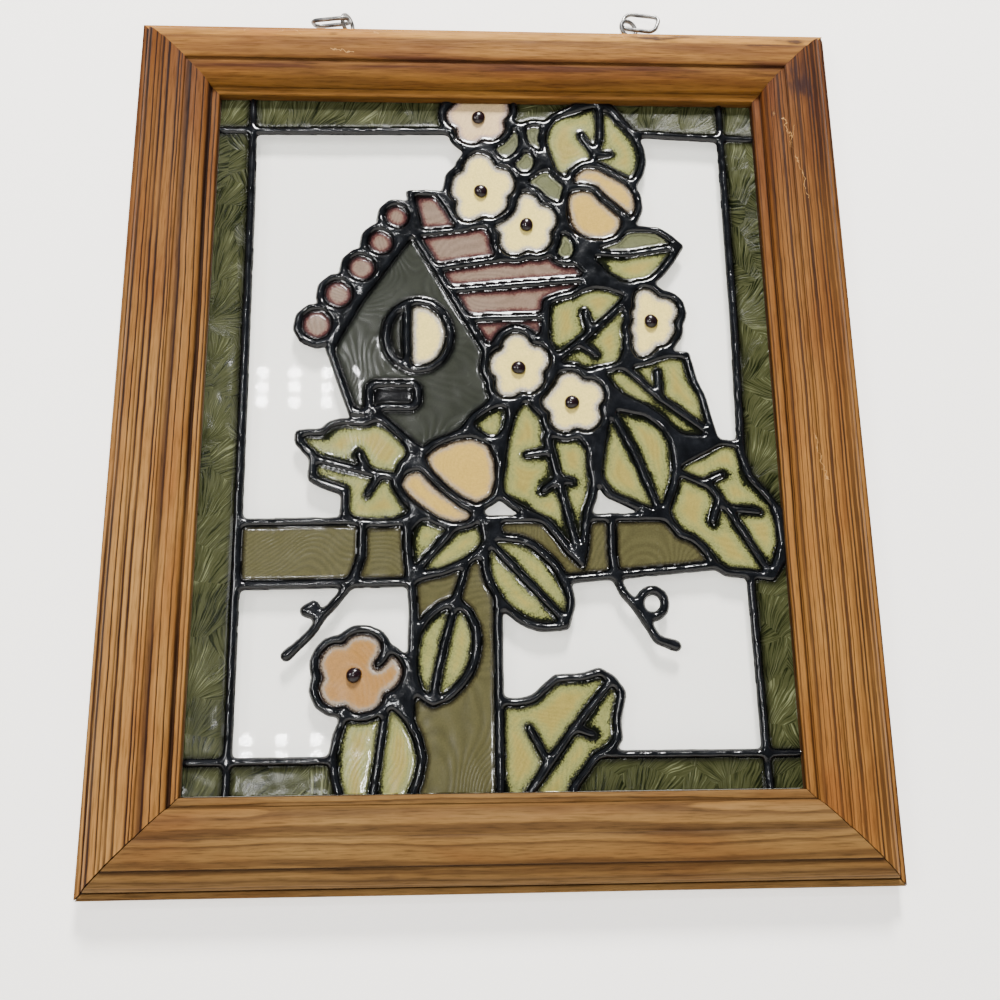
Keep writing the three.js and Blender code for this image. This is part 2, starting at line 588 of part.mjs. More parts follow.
// Flat plates stand off the front of the glass by their height above it.
const onGlass = (name, { ring, holes }, depth, material, height = CLEAR) =>
  turnedMesh(name, plate(ring, holes, depth), material, [0, -(GLASS_FRONT + height), 0],
    [Math.PI / 2, 0, 0]);

const LEAD_NAMES = ['leading', 'leading_hole_ring'];
const LEAD_MESHES = [...LEADING].sort((a, b) => areaOf(b.ring) - areaOf(a.ring))
  .map((run, i) => onGlass(LEAD_NAMES[i], run, LEAD_H, FINISH.leading));

const ENAMEL_MESHES = SOLID.map((cell) =>
  onGlass(`enamel_${cell.name}`, cell, ENAMEL_T, FINISH[cell.figure.kind]));

// A drop is a low dome, flat where it sits on the enamel.
function dome() {
  const sphere = (DROP_R ** 2 + DROP_H ** 2) / (2 * DROP_H);
  const rim = Math.asin(DROP_R / sphere);
  const profile = Array.from({ length: 5 }, (_, i) => {
    const a = rim * (1 - i / 4);
    return new THREE.Vector2(sphere * Math.sin(a), sphere * Math.cos(a) - sphere + DROP_H);
  });
  return new THREE.LatheGeometry([new THREE.Vector2(0, 0), ...profile], 14);
}
const DROP_MESHES = FLOWERS.map(({ name, centre: [x, z] }) =>
  turnedMesh(`drop_${name}`, dome(), FINISH.drop,
    [x, -(GLASS_FRONT + ENAMEL_T + 2 * CLEAR), z], [Math.PI, 0, 0]));

// ---- screw eyes and links -----------------------------------------------------------------

// A ring of wire in the XZ plane on a plain shank down to the bottom of its bore.
function screwEye() {
  const ring = new THREE.TorusGeometry(EYE_R, WIRE_R, 8, 20);
  ring.rotateX(Math.PI / 2);
  const reach = EYE_RISE - EYE_R + SHANK - CLEAR;
  const shank = new THREE.CylinderGeometry(WIRE_R, WIRE_R, reach, 8);
  shank.rotateX(Math.PI / 2);
  shank.translate(0, 0, -EYE_R - reach / 2);
  return toGeometry(solid(ring).add(solid(shank)));
}

// A loop of wire in the XY plane: the quarters of a ring moved apart to the corners of a link.
function link() {
  const quarter = 5;
  const geometry = new THREE.TorusGeometry(LINK_CORNER, WIRE_R, 8, quarter * 4);
  const position = geometry.attributes.position;
  for (let i = 0; i < position.count; i += 1) {
    const [x, y, z] = [position.getX(i), position.getY(i), position.getZ(i)];
    const step = Math.round(((Math.atan2(y, x) / (2 * Math.PI)) * quarter * 4 + quarter * 4))
      % (quarter * 4);
    const corner = Math.floor(step / quarter);
    const angle = (corner + (step % quarter) / (quarter - 1)) * (Math.PI / 2);
    const middle = (corner + 0.5) * (Math.PI / 2);
    const radius = Math.hypot(x, y);
    position.setXYZ(i,
      Math.sign(Math.cos(middle)) * (LINK_L / 2 - LINK_CORNER) + radius * Math.cos(angle),
      Math.sign(Math.sin(middle)) * (LINK_W / 2 - LINK_CORNER) + radius * Math.sin(angle), z);
  }
  return geometry;
}

const radians = (degrees) => (degrees * Math.PI) / 180;
const HANGING = HANGERS.flatMap(({ side, x, turn, link: { at, turns } }) => [
  turnedMesh(`screw_eye_${side}`, screwEye(), FINISH.wire, [x, -EYE_INSET, halfH + EYE_RISE],
    [0, 0, radians(turn)]),
  turnedMesh(`hanging_link_${side}`, link(), FINISH.wire, [at[0], at[1], halfH + at[2]],
    [...turns.map(radians), 'ZYX']),
]);

// ---- the whole window ---------------------------------------------------------------------

const stainedGlassWindow = new THREE.Group();
stainedGlassWindow.add(...FRAME, GLASS, ...LEAD_MESHES, ...ENAMEL_MESHES, ...DROP_MESHES,
  ...HANGING);
stainedGlassWindow.position.z = MOULDING_W / 2 - halfH;

export default stainedGlassWindow;
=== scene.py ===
import json
import math

import bmesh
import bpy
import numpy as np
from mathutils import Matrix, Vector
from mathutils.geometry import tessellate_polygon


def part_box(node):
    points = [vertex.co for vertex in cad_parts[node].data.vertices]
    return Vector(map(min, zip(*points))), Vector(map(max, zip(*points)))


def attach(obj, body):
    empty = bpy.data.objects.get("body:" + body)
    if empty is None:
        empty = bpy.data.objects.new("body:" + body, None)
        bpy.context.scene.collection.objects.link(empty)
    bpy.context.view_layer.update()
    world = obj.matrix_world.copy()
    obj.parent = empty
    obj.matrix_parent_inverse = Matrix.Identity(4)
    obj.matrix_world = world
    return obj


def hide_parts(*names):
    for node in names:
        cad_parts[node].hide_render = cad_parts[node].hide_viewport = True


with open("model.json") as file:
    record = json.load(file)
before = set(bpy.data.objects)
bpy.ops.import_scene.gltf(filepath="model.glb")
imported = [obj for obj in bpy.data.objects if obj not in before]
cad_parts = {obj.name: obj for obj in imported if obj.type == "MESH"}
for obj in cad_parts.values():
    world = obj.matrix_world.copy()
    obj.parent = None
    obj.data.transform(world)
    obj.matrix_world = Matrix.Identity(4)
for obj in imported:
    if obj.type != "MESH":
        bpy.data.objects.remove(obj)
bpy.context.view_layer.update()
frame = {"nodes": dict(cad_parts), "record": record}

# ---- camera -------------------------------------------------------------------------------
# A hand-held view from low down: the eye stands half a metre in front of the lower third of
# the window and looks up at its middle, so the frame widens towards the bottom.

MM = 0.001
outer_low, outer_high = (Vector(corner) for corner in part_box("frame_stile_left"))
middle_z = (outer_low.z + outer_high.z) / 2
back_y = outer_high.y

eye = Vector((-20.5 * MM, -542.7 * MM, middle_z - 176.3 * MM))
aim = Vector((3.7 * MM, -9.6 * MM, middle_z - 45.65 * MM))
ROLL = math.radians(0.74)
lens_data = bpy.data.cameras.new("camera")
lens_data.lens = 37.14
lens_data.sensor_width = 36
camera = bpy.data.objects.new("camera", lens_data)
bpy.context.collection.objects.link(camera)
turn = (aim - eye).to_track_quat("-Z", "Y").to_matrix() @ Matrix.Rotation(-ROLL, 3, "Z")
camera.matrix_world = Matrix.Translation(eye) @ turn.to_4x4()
bpy.context.scene.camera = camera

# ---- pine frame ---------------------------------------------------------------------------
# Four lengths of one machined pine moulding, stained light brown and waxed, cut at 45 degrees
# and joined at the corners. The stiles show straight quartered grain, the rails broad flat-sawn
# grain. Years of hanging have opened two of the mitres and left stains, nicks and scratches.

MOULDING_W = 47 * MM
GLASS_BACK = 3 * MM
GLASS_FRONT = 6 * MM
GROOVE_D = 6 * MM


def srgb(red, green, blue):
    """A colour given in the 0 to 255 steps of a paint card, as the shader's linear values."""
    steps = [channel / 255 for channel in (red, green, blue)]
    linear = [s / 12.92 if s < 0.04045 else ((s + 0.055) / 1.055) ** 2.4 for s in steps]
    return (*linear, 1)


def new_finish(name):
    """A new node material, its node tree and its main shader."""
    finish = bpy.data.materials.new(name)
    finish.use_nodes = True
    tree = finish.node_tree
    return finish, tree, tree.nodes["Principled BSDF"]


def dress(tree, node, inputs):
    """Fills a node's inputs: a socket is linked to its input, any other value is set on it."""
    for key, value in inputs.items():
        if isinstance(value, bpy.types.NodeSocket):
            tree.links.new(value, node.inputs[key])
        else:
            node.inputs[key].default_value = value


def add(tree, kind, inputs=None, **settings):
    """Adds a shader node of a kind, with its settings and its inputs."""
    node = tree.nodes.new("ShaderNode" + kind)
    for key, value in settings.items():
        setattr(node, key, value)
    dress(tree, node, inputs or {})
    return node


def calc(tree, operation, a, b=0.0, c=0.0, clamp=False):
    return add(tree, "Math", {0: a, 1: b, 2: c}, operation=operation, use_clamp=clamp).outputs[0]


def calc_vector(tree, operation, a, b=(0, 0, 0)):
    node = add(tree, "VectorMath", {0: a, "Scale" if operation == "SCALE" else 1: b},
               operation=operation)
    return node.outputs["Value" if operation in ("LENGTH", "DOT_PRODUCT") else "Vector"]


def noise(tree, vector, scale, detail=2.0, roughness=0.5, colour=False):
    node = add(tree, "TexNoise", {"Vector": vector, "Scale": scale, "Detail": detail,
                                  "Roughness": roughness})
    return node.outputs["Color" if colour else "Fac"]


def ramp(tree, fac, stops):
    """A colour ramp from a list of (position, colour)."""
    node = add(tree, "ValToRGB", {"Fac": fac})
    elements = node.color_ramp.elements
    elements[0].position, elements[0].color = stops[0]
    elements[1].position, elements[1].color = stops[-1]
    for position, colour in stops[1:-1]:
        elements.new(position).color = colour
    return node.outputs["Color"]


def grey(value):
    return (value, value, value, 1)


def blend_colour(tree, fac, a, b, mode="MIX"):
    return add(tree, "Mix", {0: fac, 6: a, 7: b}, data_type="RGBA", blend_type=mode).outputs[2]


def raised(tree, height, strength, depth):
    """The normal of a skin that a height raises, by up to a depth in mm."""
    return add(tree, "Bump", {"Height": height, "Strength": strength,
                              "Distance": depth * MM}).outputs["Normal"]


def shaken(tree, place, turns, reach):
    """A place moved about by up to half of reach, in mm, by a noise read at turns."""
    jitter = calc_vector(tree, "SUBTRACT", noise(tree, turns, 1, 2, colour=True), (0.5, 0.5, 0.5))
    return calc_vector(tree, "ADD", place, calc_vector(tree, "SCALE", jitter, reach * MM))


def spot(tree, where, centre, size, ragged):
    """1 at a stained spot and 0 away from it: an ellipse with a ragged edge."""
    offset = calc_vector(tree, "SUBTRACT", where, centre)
    scaled = calc_vector(tree, "DIVIDE", offset, size)
    reach = calc(tree, "ADD", calc_vector(tree, "LENGTH", scaled), ragged)
    return calc(tree, "SUBTRACT", 1.35, reach, clamp=True)


def scratch(tree, where, start, end, width):
    """1 along a scratch between two points of a moulding's face, 0 away from it."""
    a, b = Vector(start), Vector(end)
    run = (b - a).normalized()
    offset = calc_vector(tree, "SUBTRACT", where, (a.x, a.y, 0))
    across = calc_vector(tree, "DOT_PRODUCT", offset, (-run.y, run.x, 0))
    along = calc_vector(tree, "DOT_PRODUCT", offset, (run.x, run.y, 0))
    near = calc(tree, "SUBTRACT", 1, calc(tree, "DIVIDE", calc(tree, "ABSOLUTE", across), width))
    middle = calc(tree, "SUBTRACT", along, (b - a).length / 2)
    inside = calc(tree, "LESS_THAN", calc(tree, "ABSOLUTE", middle), (b - a).length / 2)
    return calc(tree, "MULTIPLY", calc(tree, "MAXIMUM", near, 0), inside)


# turns per metre of each pattern in the wood: along a moulding, across it and through it
SWAY, TREMOR, FADE, PATCHES = (7, 13, 13), (90, 60, 60), (9, 50, 50), (12, 45, 45)
STREAKS, FIBRE, NAP, TREMBLE = (16, 260, 260), (70, 1100, 1100), (110, 420, 420), (260, 260, 0)
STAIN_H, STAIN_DEPTH = 14 * MM, 40 * MM


def pine(name, pith, pitch, waver, plainness, base, late, stains=(), scratches=(),
         inner_band_shade=0, upper_darkening=0):
    """Stained pine. The rings lie about a pith at (inset, height) a given pitch apart and wander
    by waver; plainness fades them, inner_band_shade paints shade on the inner band of the
    moulding, where it turns down away from the light, and upper_darkening darkens its upper end.
    Stains are (along, inset, length, width, strength), and scratches run from (along, inset) to
    (along, inset) with a width. All in mm but the pith."""
    finish, tree, shader = new_finish(name)
    place = add(tree, "Attribute", attribute_name="grain").outputs["Vector"]
    # each length comes from another part of the tree
    shifted = calc_vector(tree, "ADD", place, (len(name) * 1.37, 0, 0))

    def drawn_out(turns, detail=2, roughness=0.5, colour=False):
        return noise(tree, calc_vector(tree, "MULTIPLY", shifted, turns), 1, detail, roughness,
                     colour)

    moved = shaken(tree, shifted, calc_vector(tree, "MULTIPLY", shifted, SWAY), waver)
    tremor = drawn_out(TREMOR, colour=True)
    moved = calc_vector(tree, "ADD", moved, calc_vector(tree, "SCALE", tremor, 0.5 * MM))
    radial = calc_vector(tree, "MULTIPLY", calc_vector(tree, "SUBTRACT", moved, (0, *pith)),
                         (0, 1, 1))
    turns = calc(tree, "DIVIDE", calc_vector(tree, "LENGTH", radial), pitch * MM)
    years = add(tree, "TexNoise", {"W": turns, "Scale": 0.9, "Detail": 1},
                noise_dimensions="1D").outputs["Fac"]
    turns = calc(tree, "ADD", turns, calc(tree, "MULTIPLY", years, 1.6))
    dark_line = ramp(tree, calc(tree, "FRACT", turns), [
        (0.0, grey(0.45)), (0.08, grey(0.08)), (0.2, grey(0)), (0.45, grey(0.1)),
        (0.64, grey(0.6)), (0.74, grey(1)), (0.93, grey(1)), (1.0, grey(0.45))])
    # some years leave a strong dark line and others hardly any
    bands = add(tree, "TexNoise", {"W": turns, "Scale": 0.83, "Detail": 1},
                noise_dimensions="1D").outputs["Fac"]
    strength = ramp(tree, bands, [(0.3, grey(1 - 0.75 * plainness)), (0.7, grey(1 - plainness))])
    strength = calc(tree, "MULTIPLY", strength,
                    ramp(tree, drawn_out(FADE), [(0.25, grey(0.5)), (0.55, grey(1))]))
    wood = blend_colour(tree, calc(tree, "MULTIPLY", dark_line, strength), base, late)
    wood = blend_colour(tree, 0.8, wood, ramp(tree, drawn_out(PATCHES, 3), [
        (0.3, srgb(206, 176, 150)), (0.5, srgb(240, 232, 222)), (0.72, srgb(255, 255, 255))]),
        "MULTIPLY")
    inset = add(tree, "SeparateXYZ", {0: place}).outputs["Y"]
    # painted shade: the inner band of the moulding, which turns down away from the light, is
    # darkened in streaks towards dark brown
    band_shade = ramp(tree, calc(tree, "DIVIDE", inset, MOULDING_W),
               [(0.3, grey(0)), (0.32, grey(0.75)), (0.5, grey(0.6)), (0.61, grey(1)),
                (0.72, grey(0.95)), (0.88, grey(0.5)), (1.0, grey(0.6))])
    band_shade = calc(tree, "MULTIPLY", calc(tree, "MULTIPLY", band_shade, inner_band_shade),
               ramp(tree, drawn_out(STREAKS, 3), [(0.35, grey(0.6)), (0.6, grey(1))]))
    wood = blend_colour(tree, band_shade, wood, srgb(58, 27, 7))
    # the wood is darker towards the top of the window, the upper half more than the lower
    height = add(tree, "SeparateXYZ", {0: add(tree, "TexCoord").outputs["Object"]}).outputs["Z"]
    above_foot = calc(tree, "ADD", calc(tree, "SUBTRACT", height, middle_z), 0.3)
    upper_dark = calc(tree, "MULTIPLY",
                 ramp(tree, above_foot, [(0.26, grey(0)), (0.52, grey(1))]), upper_darkening)
    wood = blend_colour(tree, upper_dark, wood, srgb(168, 140, 108), "MULTIPLY")
    # short pores and a fine nap run with the grain
    fibre = drawn_out(FIBRE, 4, 0.62)
    wood = blend_colour(tree, 0.9, wood,
                        ramp(tree, fibre, [(0.3, grey(0.5)), (0.48, grey(0.95)), (0.7, grey(1.15))]),
                        "MULTIPLY")
    # painted shade, with wax and dirt, lies dark in the quirks and on the edge round the glass
    shade_and_dirt = add(tree, "Attribute", attribute_name="quirk").outputs["Fac"]
    wood = blend_colour(tree, shade_and_dirt, wood, srgb(26, 12, 4))
    nap = drawn_out(NAP, 4)
    ragged = calc(tree, "MULTIPLY", calc(tree, "SUBTRACT", nap, 0.5), 2.6)
    for along, inset_at, length, width, depth in stains:
        mark = spot(tree, place, (along * MM, inset_at * MM, STAIN_H),
                    (length * MM, width * MM, STAIN_DEPTH), ragged)
        wood = blend_colour(tree, calc(tree, "MULTIPLY", mark, depth), wood, srgb(34, 14, 12))
    unsteady = shaken(tree, place, calc_vector(tree, "MULTIPLY", place, TREMBLE), 7)
    for start, end, width in scratches:
        mark = scratch(tree, unsteady, [v * MM for v in start], [v * MM for v in end], width * MM)
        broken = calc(tree, "MULTIPLY", mark,
                      ramp(tree, nap, [(0.4, grey(0.1)), (0.58, grey(0.9))]))
        wood = blend_colour(tree, broken, wood, srgb(172, 130, 78))
    ridges = calc(tree, "ADD", calc(tree, "MULTIPLY", dark_line, -0.7),
                  calc(tree, "MULTIPLY", fibre, 0.7))
    dress(tree, shader, {
        "Base Color": wood, "Specular IOR Level": 0.1, "Normal": raised(tree, ridges, 0.6, 0.3),
        "Roughness": ramp(tree, fibre, [(0.3, grey(0.8)), (0.7, grey(0.6))])})
    return finish


def arc(start, end, count, rises):
    """Points of a quarter ellipse from start to end, steep at the end that is lower."""
    points = []
    for i in range(count + 1):
        a = i / count * math.pi / 2
        p, q = (1 - math.cos(a), math.sin(a)) if rises else (math.sin(a), 1 - math.cos(a))
        points.append((start[0] + (end[0] - start[0]) * p, start[1] + (end[1] - start[1]) * q))
    return points


# (inset from the outer edge, height above the back), in mm, across the moulding's face
LIP_AND_BANDS = [
    (0, 9.9), (0.15, 10.5), (0.6, 10.95), (1.6, 11.2), (3.0, 11.35), (3.45, 11.2),
    (3.6, 10.8), (3.75, 10.75), (3.95, 11.3),
    *arc((4.1, 11.8), (14.2, 20.2), 12, True),
    (14.3, 20.25), (14.45, 20.5), (14.55, 21.1), (14.9, 21.5), (16.4, 21.75), (18, 21.88),
    (21.6, 21.98), (25.2, 21.88), (27, 21.7), (28.2, 21.45), (28.6, 21.1), (28.7, 20.5),
    *arc((28.9, 20.15), (42, 13.2), 12, False),
    (42.15, 12.85), (42.3, 12.3), (42.55, 12.3), (42.8, 12.5), (44.5, 12.5), (46.2, 12.3),
    (46.75, 12.0), (47, 11.5)]
QUIRKS = (3.7, 14.3, 28.75, 42.35)
QUIRK_REACH = 0.55
MITRE_GAP = 0.4  # between the plain solids at each mitre, which the wood closes
MITRE_CLOSES = 94  # the inset at which an opened mitre would close
RUB_REACH = 2.2  # how far a rubbed corner is worn back
STATION = 3  # between the sections along a moulding


def section_round():
    """The whole section, with the groove for the glass, as a closed round."""
    width, groove = MOULDING_W / MM, (MOULDING_W - GROOVE_D) / MM
    front, back = GLASS_FRONT / MM + 0.3, GLASS_BACK / MM - 0.3
    inner = [(width, 9), (width, front), (groove, front), (groove, back), (width, back),
             (width, 0.4), (width - 0.4, 0)]
    across_back = [(x, 0) for x in (40, 30, 20, 10, 0.4)]
    return [*LIP_AND_BANDS, *inner, *across_back, (0, 0.4), (0, 5)]


def mesh_piece(name, points, faces, finish):
    mesh = bpy.data.meshes.new(name)
    mesh.from_pydata([tuple(p) for p in points], [], faces)
    mesh.materials.append(finish)
    mesh.polygons.foreach_set("use_smooth", [True] * len(mesh.polygons))
    piece = bpy.data.objects.new(name, mesh)
    bpy.context.collection.objects.link(piece)
    return piece


def store(mesh, name, values, kind="FLOAT", field="value"):
    layer = mesh.attributes.new(name, kind, "POINT")
    layer.data.foreach_set(field, np.asarray(values, dtype=np.float32).ravel())


def moulding(node, along_axis, inward_axis, finish, gaps, worn=(0, 0)):
    """A length of moulding from one outer corner to the other, in place of a CAD member. gaps is
    how far each mitre has opened, and worn how far each outer corner is rubbed away, in mm."""
    low, high = (Vector(corner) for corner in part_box(node))
    along, inward = Vector(along_axis), Vector(inward_axis)
    length = abs((high - low).dot(along)) / MM + MITRE_GAP * math.sqrt(2)
    corner = [low[i] if along[i] + inward[i] > 0 else high[i] for i in range(3)]
    start = Vector((corner[0], back_y, corner[2])) - along * MITRE_GAP * math.sqrt(0.5) * MM
    section = section_round()
    stations = round(length / STATION)
    points, grain, quirk = [], [], []
    for i in range(stations + 1):
        t = i / stations
        for inset, height in section:
            near = inset + gaps[0] * (1 - inset / MITRE_CLOSES)
            far = length - inset - gaps[1] * (1 - inset / MITRE_CLOSES)
            place = near + (far - near) * t
            from_end = min(t, 1 - t) * (far - near)
            rub = worn[0 if t < 0.5 else 1] * math.exp(-((from_end + inset) / RUB_REACH) ** 2)
            sink = rub if height > 6 else 0
            sway = 0.05 * math.sin(place / 37 + inset) * min(from_end / 20, 1)
            point = start + along * place * MM + inward * (inset + rub * 0.7 + sway) * MM
            point.y = back_y - max(height - sink, 0) * MM
            points.append(point)
            grain.append((place * MM, inset * MM, height * MM))
            near_quirk = min(abs(inset - q) for q in QUIRKS) if height > 9 else 9
            shade = max(0, 1 - near_quirk / QUIRK_REACH)
            # the two inner quirks hold less painted shade and dirt, and the edge round the glass has
            # a little painted shade
            if any(abs(inset - q) < 1 for q in QUIRKS[2:]):
                shade *= 0.6
            at_glass = 0.4 if inset > 46.6 and height < 11.9 else 0
            quirk.append(max(shade * 0.95, at_glass))
    count = len(section)
    faces = []
    for i in range(stations):
        for k in range(count):
            n = (k + 1) % count
            faces.append((i * count + k, i * count + n, (i + 1) * count + n, (i + 1) * count + k))
    cap = tessellate_polygon([[Vector((u, h, 0)) for u, h in section]])
    last = stations * count
    for a, b, c in cap:
        faces.append((a, b, c))
        faces.append((last + c, last + b, last + a))
    piece = mesh_piece(node.replace("frame_", "pine_"), points, faces, finish)
    mesh = piece.data
    store(mesh, "grain", grain, "FLOAT_VECTOR", "vector")
    store(mesh, "quirk", quirk)
    fix_normals(mesh)
    mesh.set_sharp_from_angle(angle=math.radians(38))
    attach(piece, "root")
    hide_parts(node)
    return piece


def fix_normals(mesh):
    shape = bmesh.new()
    shape.from_mesh(mesh)
    bmesh.ops.recalc_face_normals(shape, faces=shape.faces[:])
    shape.to_mesh(mesh)
    shape.free()


RIGHT, UP = (1, 0, 0), (0, 0, 1)
LEFT, DOWN = (-1, 0, 0), (0, 0, -1)
GOLD, TAN, UMBER = srgb(152, 108, 46), srgb(112, 84, 46), srgb(44, 23, 8)
moulding("frame_rail_top", RIGHT, DOWN,
         pine("pine top rail", (0.02, -0.09), 4.2, 9, 0.86, GOLD, srgb(66, 35, 11),
              stains=[(297, 10, 15, 2.6, 0.9), (318, 8, 12, 2, 0.7), (384, 11, 9, 1.8, 0.9),
                      (368, 15, 14, 1.2, 0.7), (112, 11, 2.2, 1.4, 0.4), (240, 9, 6, 1, 0.3)],
              scratches=[((80, 12), (86, 4), 0.3), ((86, 4), (93, 11), 0.3),
                         ((60, 10), (66, 5), 0.28), ((136, 4), (138, 11), 0.5),
                         ((166, 3), (168, 9), 0.5), ((282, 3), (284, 10), 0.5),
                         ((290, 4), (294, 9), 0.4), ((112, 23), (124, 25), 0.45)], inner_band_shade=1),
         (0, 0.1))
moulding("frame_rail_bottom", RIGHT, UP,
         pine("pine bottom rail", (-0.03, -0.05), 3.6, 9, 0.45, TAN, srgb(44, 25, 9),
              stains=[(150, 9, 5, 1.2, 0.4)]),
         (0.6, 0.4))
moulding("frame_stile_left", UP, RIGHT,
         pine("pine left stile", (-0.12, 0.03), 3.9, 3, 0, srgb(146, 107, 58), UMBER,
              upper_darkening=1), (0.5, 0))
moulding("frame_stile_right", UP, LEFT,
         pine("pine right stile", (0.13, -0.02), 2.5, 3, 0.12, srgb(134, 93, 44), UMBER,
              stains=[(446, 22, 8, 4.5, 0.95), (443, 16, 6, 3, 0.8), (450, 19, 15, 8, 0.45),
                      (430, 14, 10, 3, 0.3), (427, 37, 2, 1.3, 0.5)],
              scratches=[((424, 32), (398, 27), 0.3), ((418, 27), (404, 30), 0.3),
                         ((398, 27), (372, 22), 0.3), ((428, 37.5), (426, 36.5), 0.8),
                         ((232, 30), (205, 26), 0.4)], upper_darkening=1),
         (0.4, 0.1), (0, 0.9))

# ---- glass --------------------------------------------------------------------------------
# One sheet of clear float glass, three millimetres thick, that carries the whole picture on its
# front. It is held in a groove round the inside of the frame.

clear, tree, shader = new_finish("clear glass")
smear = noise(tree, add(tree, "TexCoord").outputs["Object"], 14, 3)
dress(tree, shader, {"Base Color": srgb(112, 126, 110), "Roughness": 0.02, "IOR": 1.5,
                     "Alpha": 0.1, "Normal": raised(tree, smear, 0.02, 0.5)})
glass = frame["nodes"]["glass_sheet"]
glass.data.materials.clear()
glass.data.materials.append(clear)

# ---- leading ------------------------------------------------------------------------------
# Black liquid leading piped on to the front of the glass along the lines of the picture. It has
# set to a glossy round bead, a little uneven, that pools where lines meet.

# all in mm
CELL = 0.7  # of the grid that the shapes are worked out on
SIGHT_X, SIGHT_Z = 155.7, 195.7  # half the sides of the opening that the picture fills
BEAD_H, BEAD_REACH = 2.7, 2.75  # the bead's height, and how far in from its edge it reaches it
FAR = 16.0  # the longest distance that is measured
EDGE_SLACK, RUN_PAST = 0.4, 4  # an outline this near the sight's edge is pushed on past it
rng = np.random.default_rng(11)


def chained(edges):
    """The closed loops that directed edges make, end to end."""
    following = {}
    for a, b in edges:
        following.setdefault(a, []).append(b)
    loops = []
    for start in list(following):
        while following[start]:
            loop, here = [], start
            while True:
                loop.append(here)
                here = following[here].pop()
                if here == start:
                    break
            loops.append(loop)
    return loops


def front_loops(node):
    """The closed outlines of a flat CAD plate's front face, in mm from the sight's middle."""
    mesh = frame["nodes"][node].data
    points = np.array([v.co[:] for v in mesh.vertices])
    front = points[:, 1].min()
    key = [(round(x / MM, 3), round((z - middle_z) / MM, 3)) for x, _, z in points]
    is_front = points[:, 1] < front + 0.05 * MM
    edges = set()
    for face in mesh.polygons:
        if all(is_front[v] for v in face.vertices):
            ring = [key[v] for v in face.vertices]
            edges.update(zip(ring, ring[1:] + ring[:1]))
    outline = [(a, b) for a, b in sorted(edges) if (b, a) not in edges]
    return [np.array(loop) for loop in chained(outline)]


def bell(spread, step, reach):
    """The weights of a bell curve, spread steps to either side."""
    weights = np.exp(-0.5 * (np.arange(-spread, spread + 1) * step / reach) ** 2)
    return weights / weights.sum()


def faired(loop, reach):
    """The outline eased along its length. Where it lies on the sight's edge it is pushed out."""
    step = 0.8
    out = loop.copy()
    for axis, limit in ((0, SIGHT_X), (1, SIGHT_Z)):
        on_edge = np.abs(np.abs(out[:, axis]) - limit) < EDGE_SLACK
        out[on_edge, axis] *= 1 + RUN_PAST / limit
    closed = np.vstack([out, out[:1]])
    gaps = np.hypot(*np.diff(closed, axis=0).T)
    run = np.r_[0, np.cumsum(gaps)]
    count = max(int(run[-1] / step), 12)
    at = np.linspace(0, run[-1], count, endpoint=False)
    even = np.c_[np.interp(at, run, closed[:, 0]), np.interp(at, run, closed[:, 1])]
    spread = min(int(3 * reach / step), count // 3)
    return sum(w * np.roll(even, k, axis=0)
               for w, k in zip(bell(spread, step, reach), range(-spread, spread + 1)))


def ruled(limit):
    """Even grid lines from -limit to limit, with one more just outside at each end."""
    inner = np.linspace(-limit, limit, round(2 * limit / CELL) + 1)
    return np.r_[-limit - 0.02, inner, limit + 0.02]


grid_x = ruled(SIGHT_X)
grid_z = ruled(SIGHT_Z)
X, Z = np.meshgrid(grid_x, grid_z, indexing="ij")
outside = (np.abs(X) > SIGHT_X + 0.01) | (np.abs(Z) > SIGHT_Z + 0.01)


def within(loops):
    """Which grid points lie inside the loops, by counting the edges to their left."""
    inside = np.zeros(X.shape, bool)
    for loop in loops:
        ends = np.roll(loop, -1, axis=0)
        for (x0, z0), (x1, z1) in zip(loop, ends):
            if z0 == z1:
                continue
            low, high = sorted((z0, z1))
            j0, j1 = np.searchsorted(grid_z, (low, high), side="right")
            if j0 == j1:
                continue
            cross = x0 + (x1 - x0) * (grid_z[j0:j1] - z0) / (z1 - z0)
            inside[:, j0:j1] ^= grid_x[:, None] > cross[None, :]
    return inside


def distance_to(loops):
    """Distance from each grid point to the nearest outline, up to FAR."""
    best = np.full(X.shape, FAR)
    for loop in loops:
        for (x0, z0), (x1, z1) in zip(loop, np.roll(loop, -1, axis=0)):
            i0, i1 = np.searchsorted(grid_x, (min(x0, x1) - FAR, max(x0, x1) + FAR))
            j0, j1 = np.searchsorted(grid_z, (min(z0, z1) - FAR, max(z0, z1) + FAR))
            dx, dz = x1 - x0, z1 - z0
            px, pz = X[i0:i1, j0:j1] - x0, Z[i0:i1, j0:j1] - z0
            t = np.clip((px * dx + pz * dz) / (dx * dx + dz * dz + 1e-12), 0, 1)
            part = best[i0:i1, j0:j1]
            np.minimum(part, np.hypot(px - t * dx, pz - t * dz), out=part)
    return best


def blurred(field, reach):
    spread = int(3 * reach / CELL) + 1
    weights = bell(spread, CELL, reach)
    for axis in (0, 1):
        pad = [(spread, spread) if a == axis else (0, 0) for a in (0, 1)]
        wide = np.pad(field, pad, mode="edge")
        size = field.shape[axis]
        field = sum(w * wide.take(range(k, k + size), axis) for k, w in enumerate(weights))
    return field


def unevenness(wavelength):
    """Smooth random height over the grid, about -1 to 1."""
    rough = rng.normal(size=X.shape)
    soft = blurred(rough, wavelength / 4)
    return soft / (2.2 * soft.std())


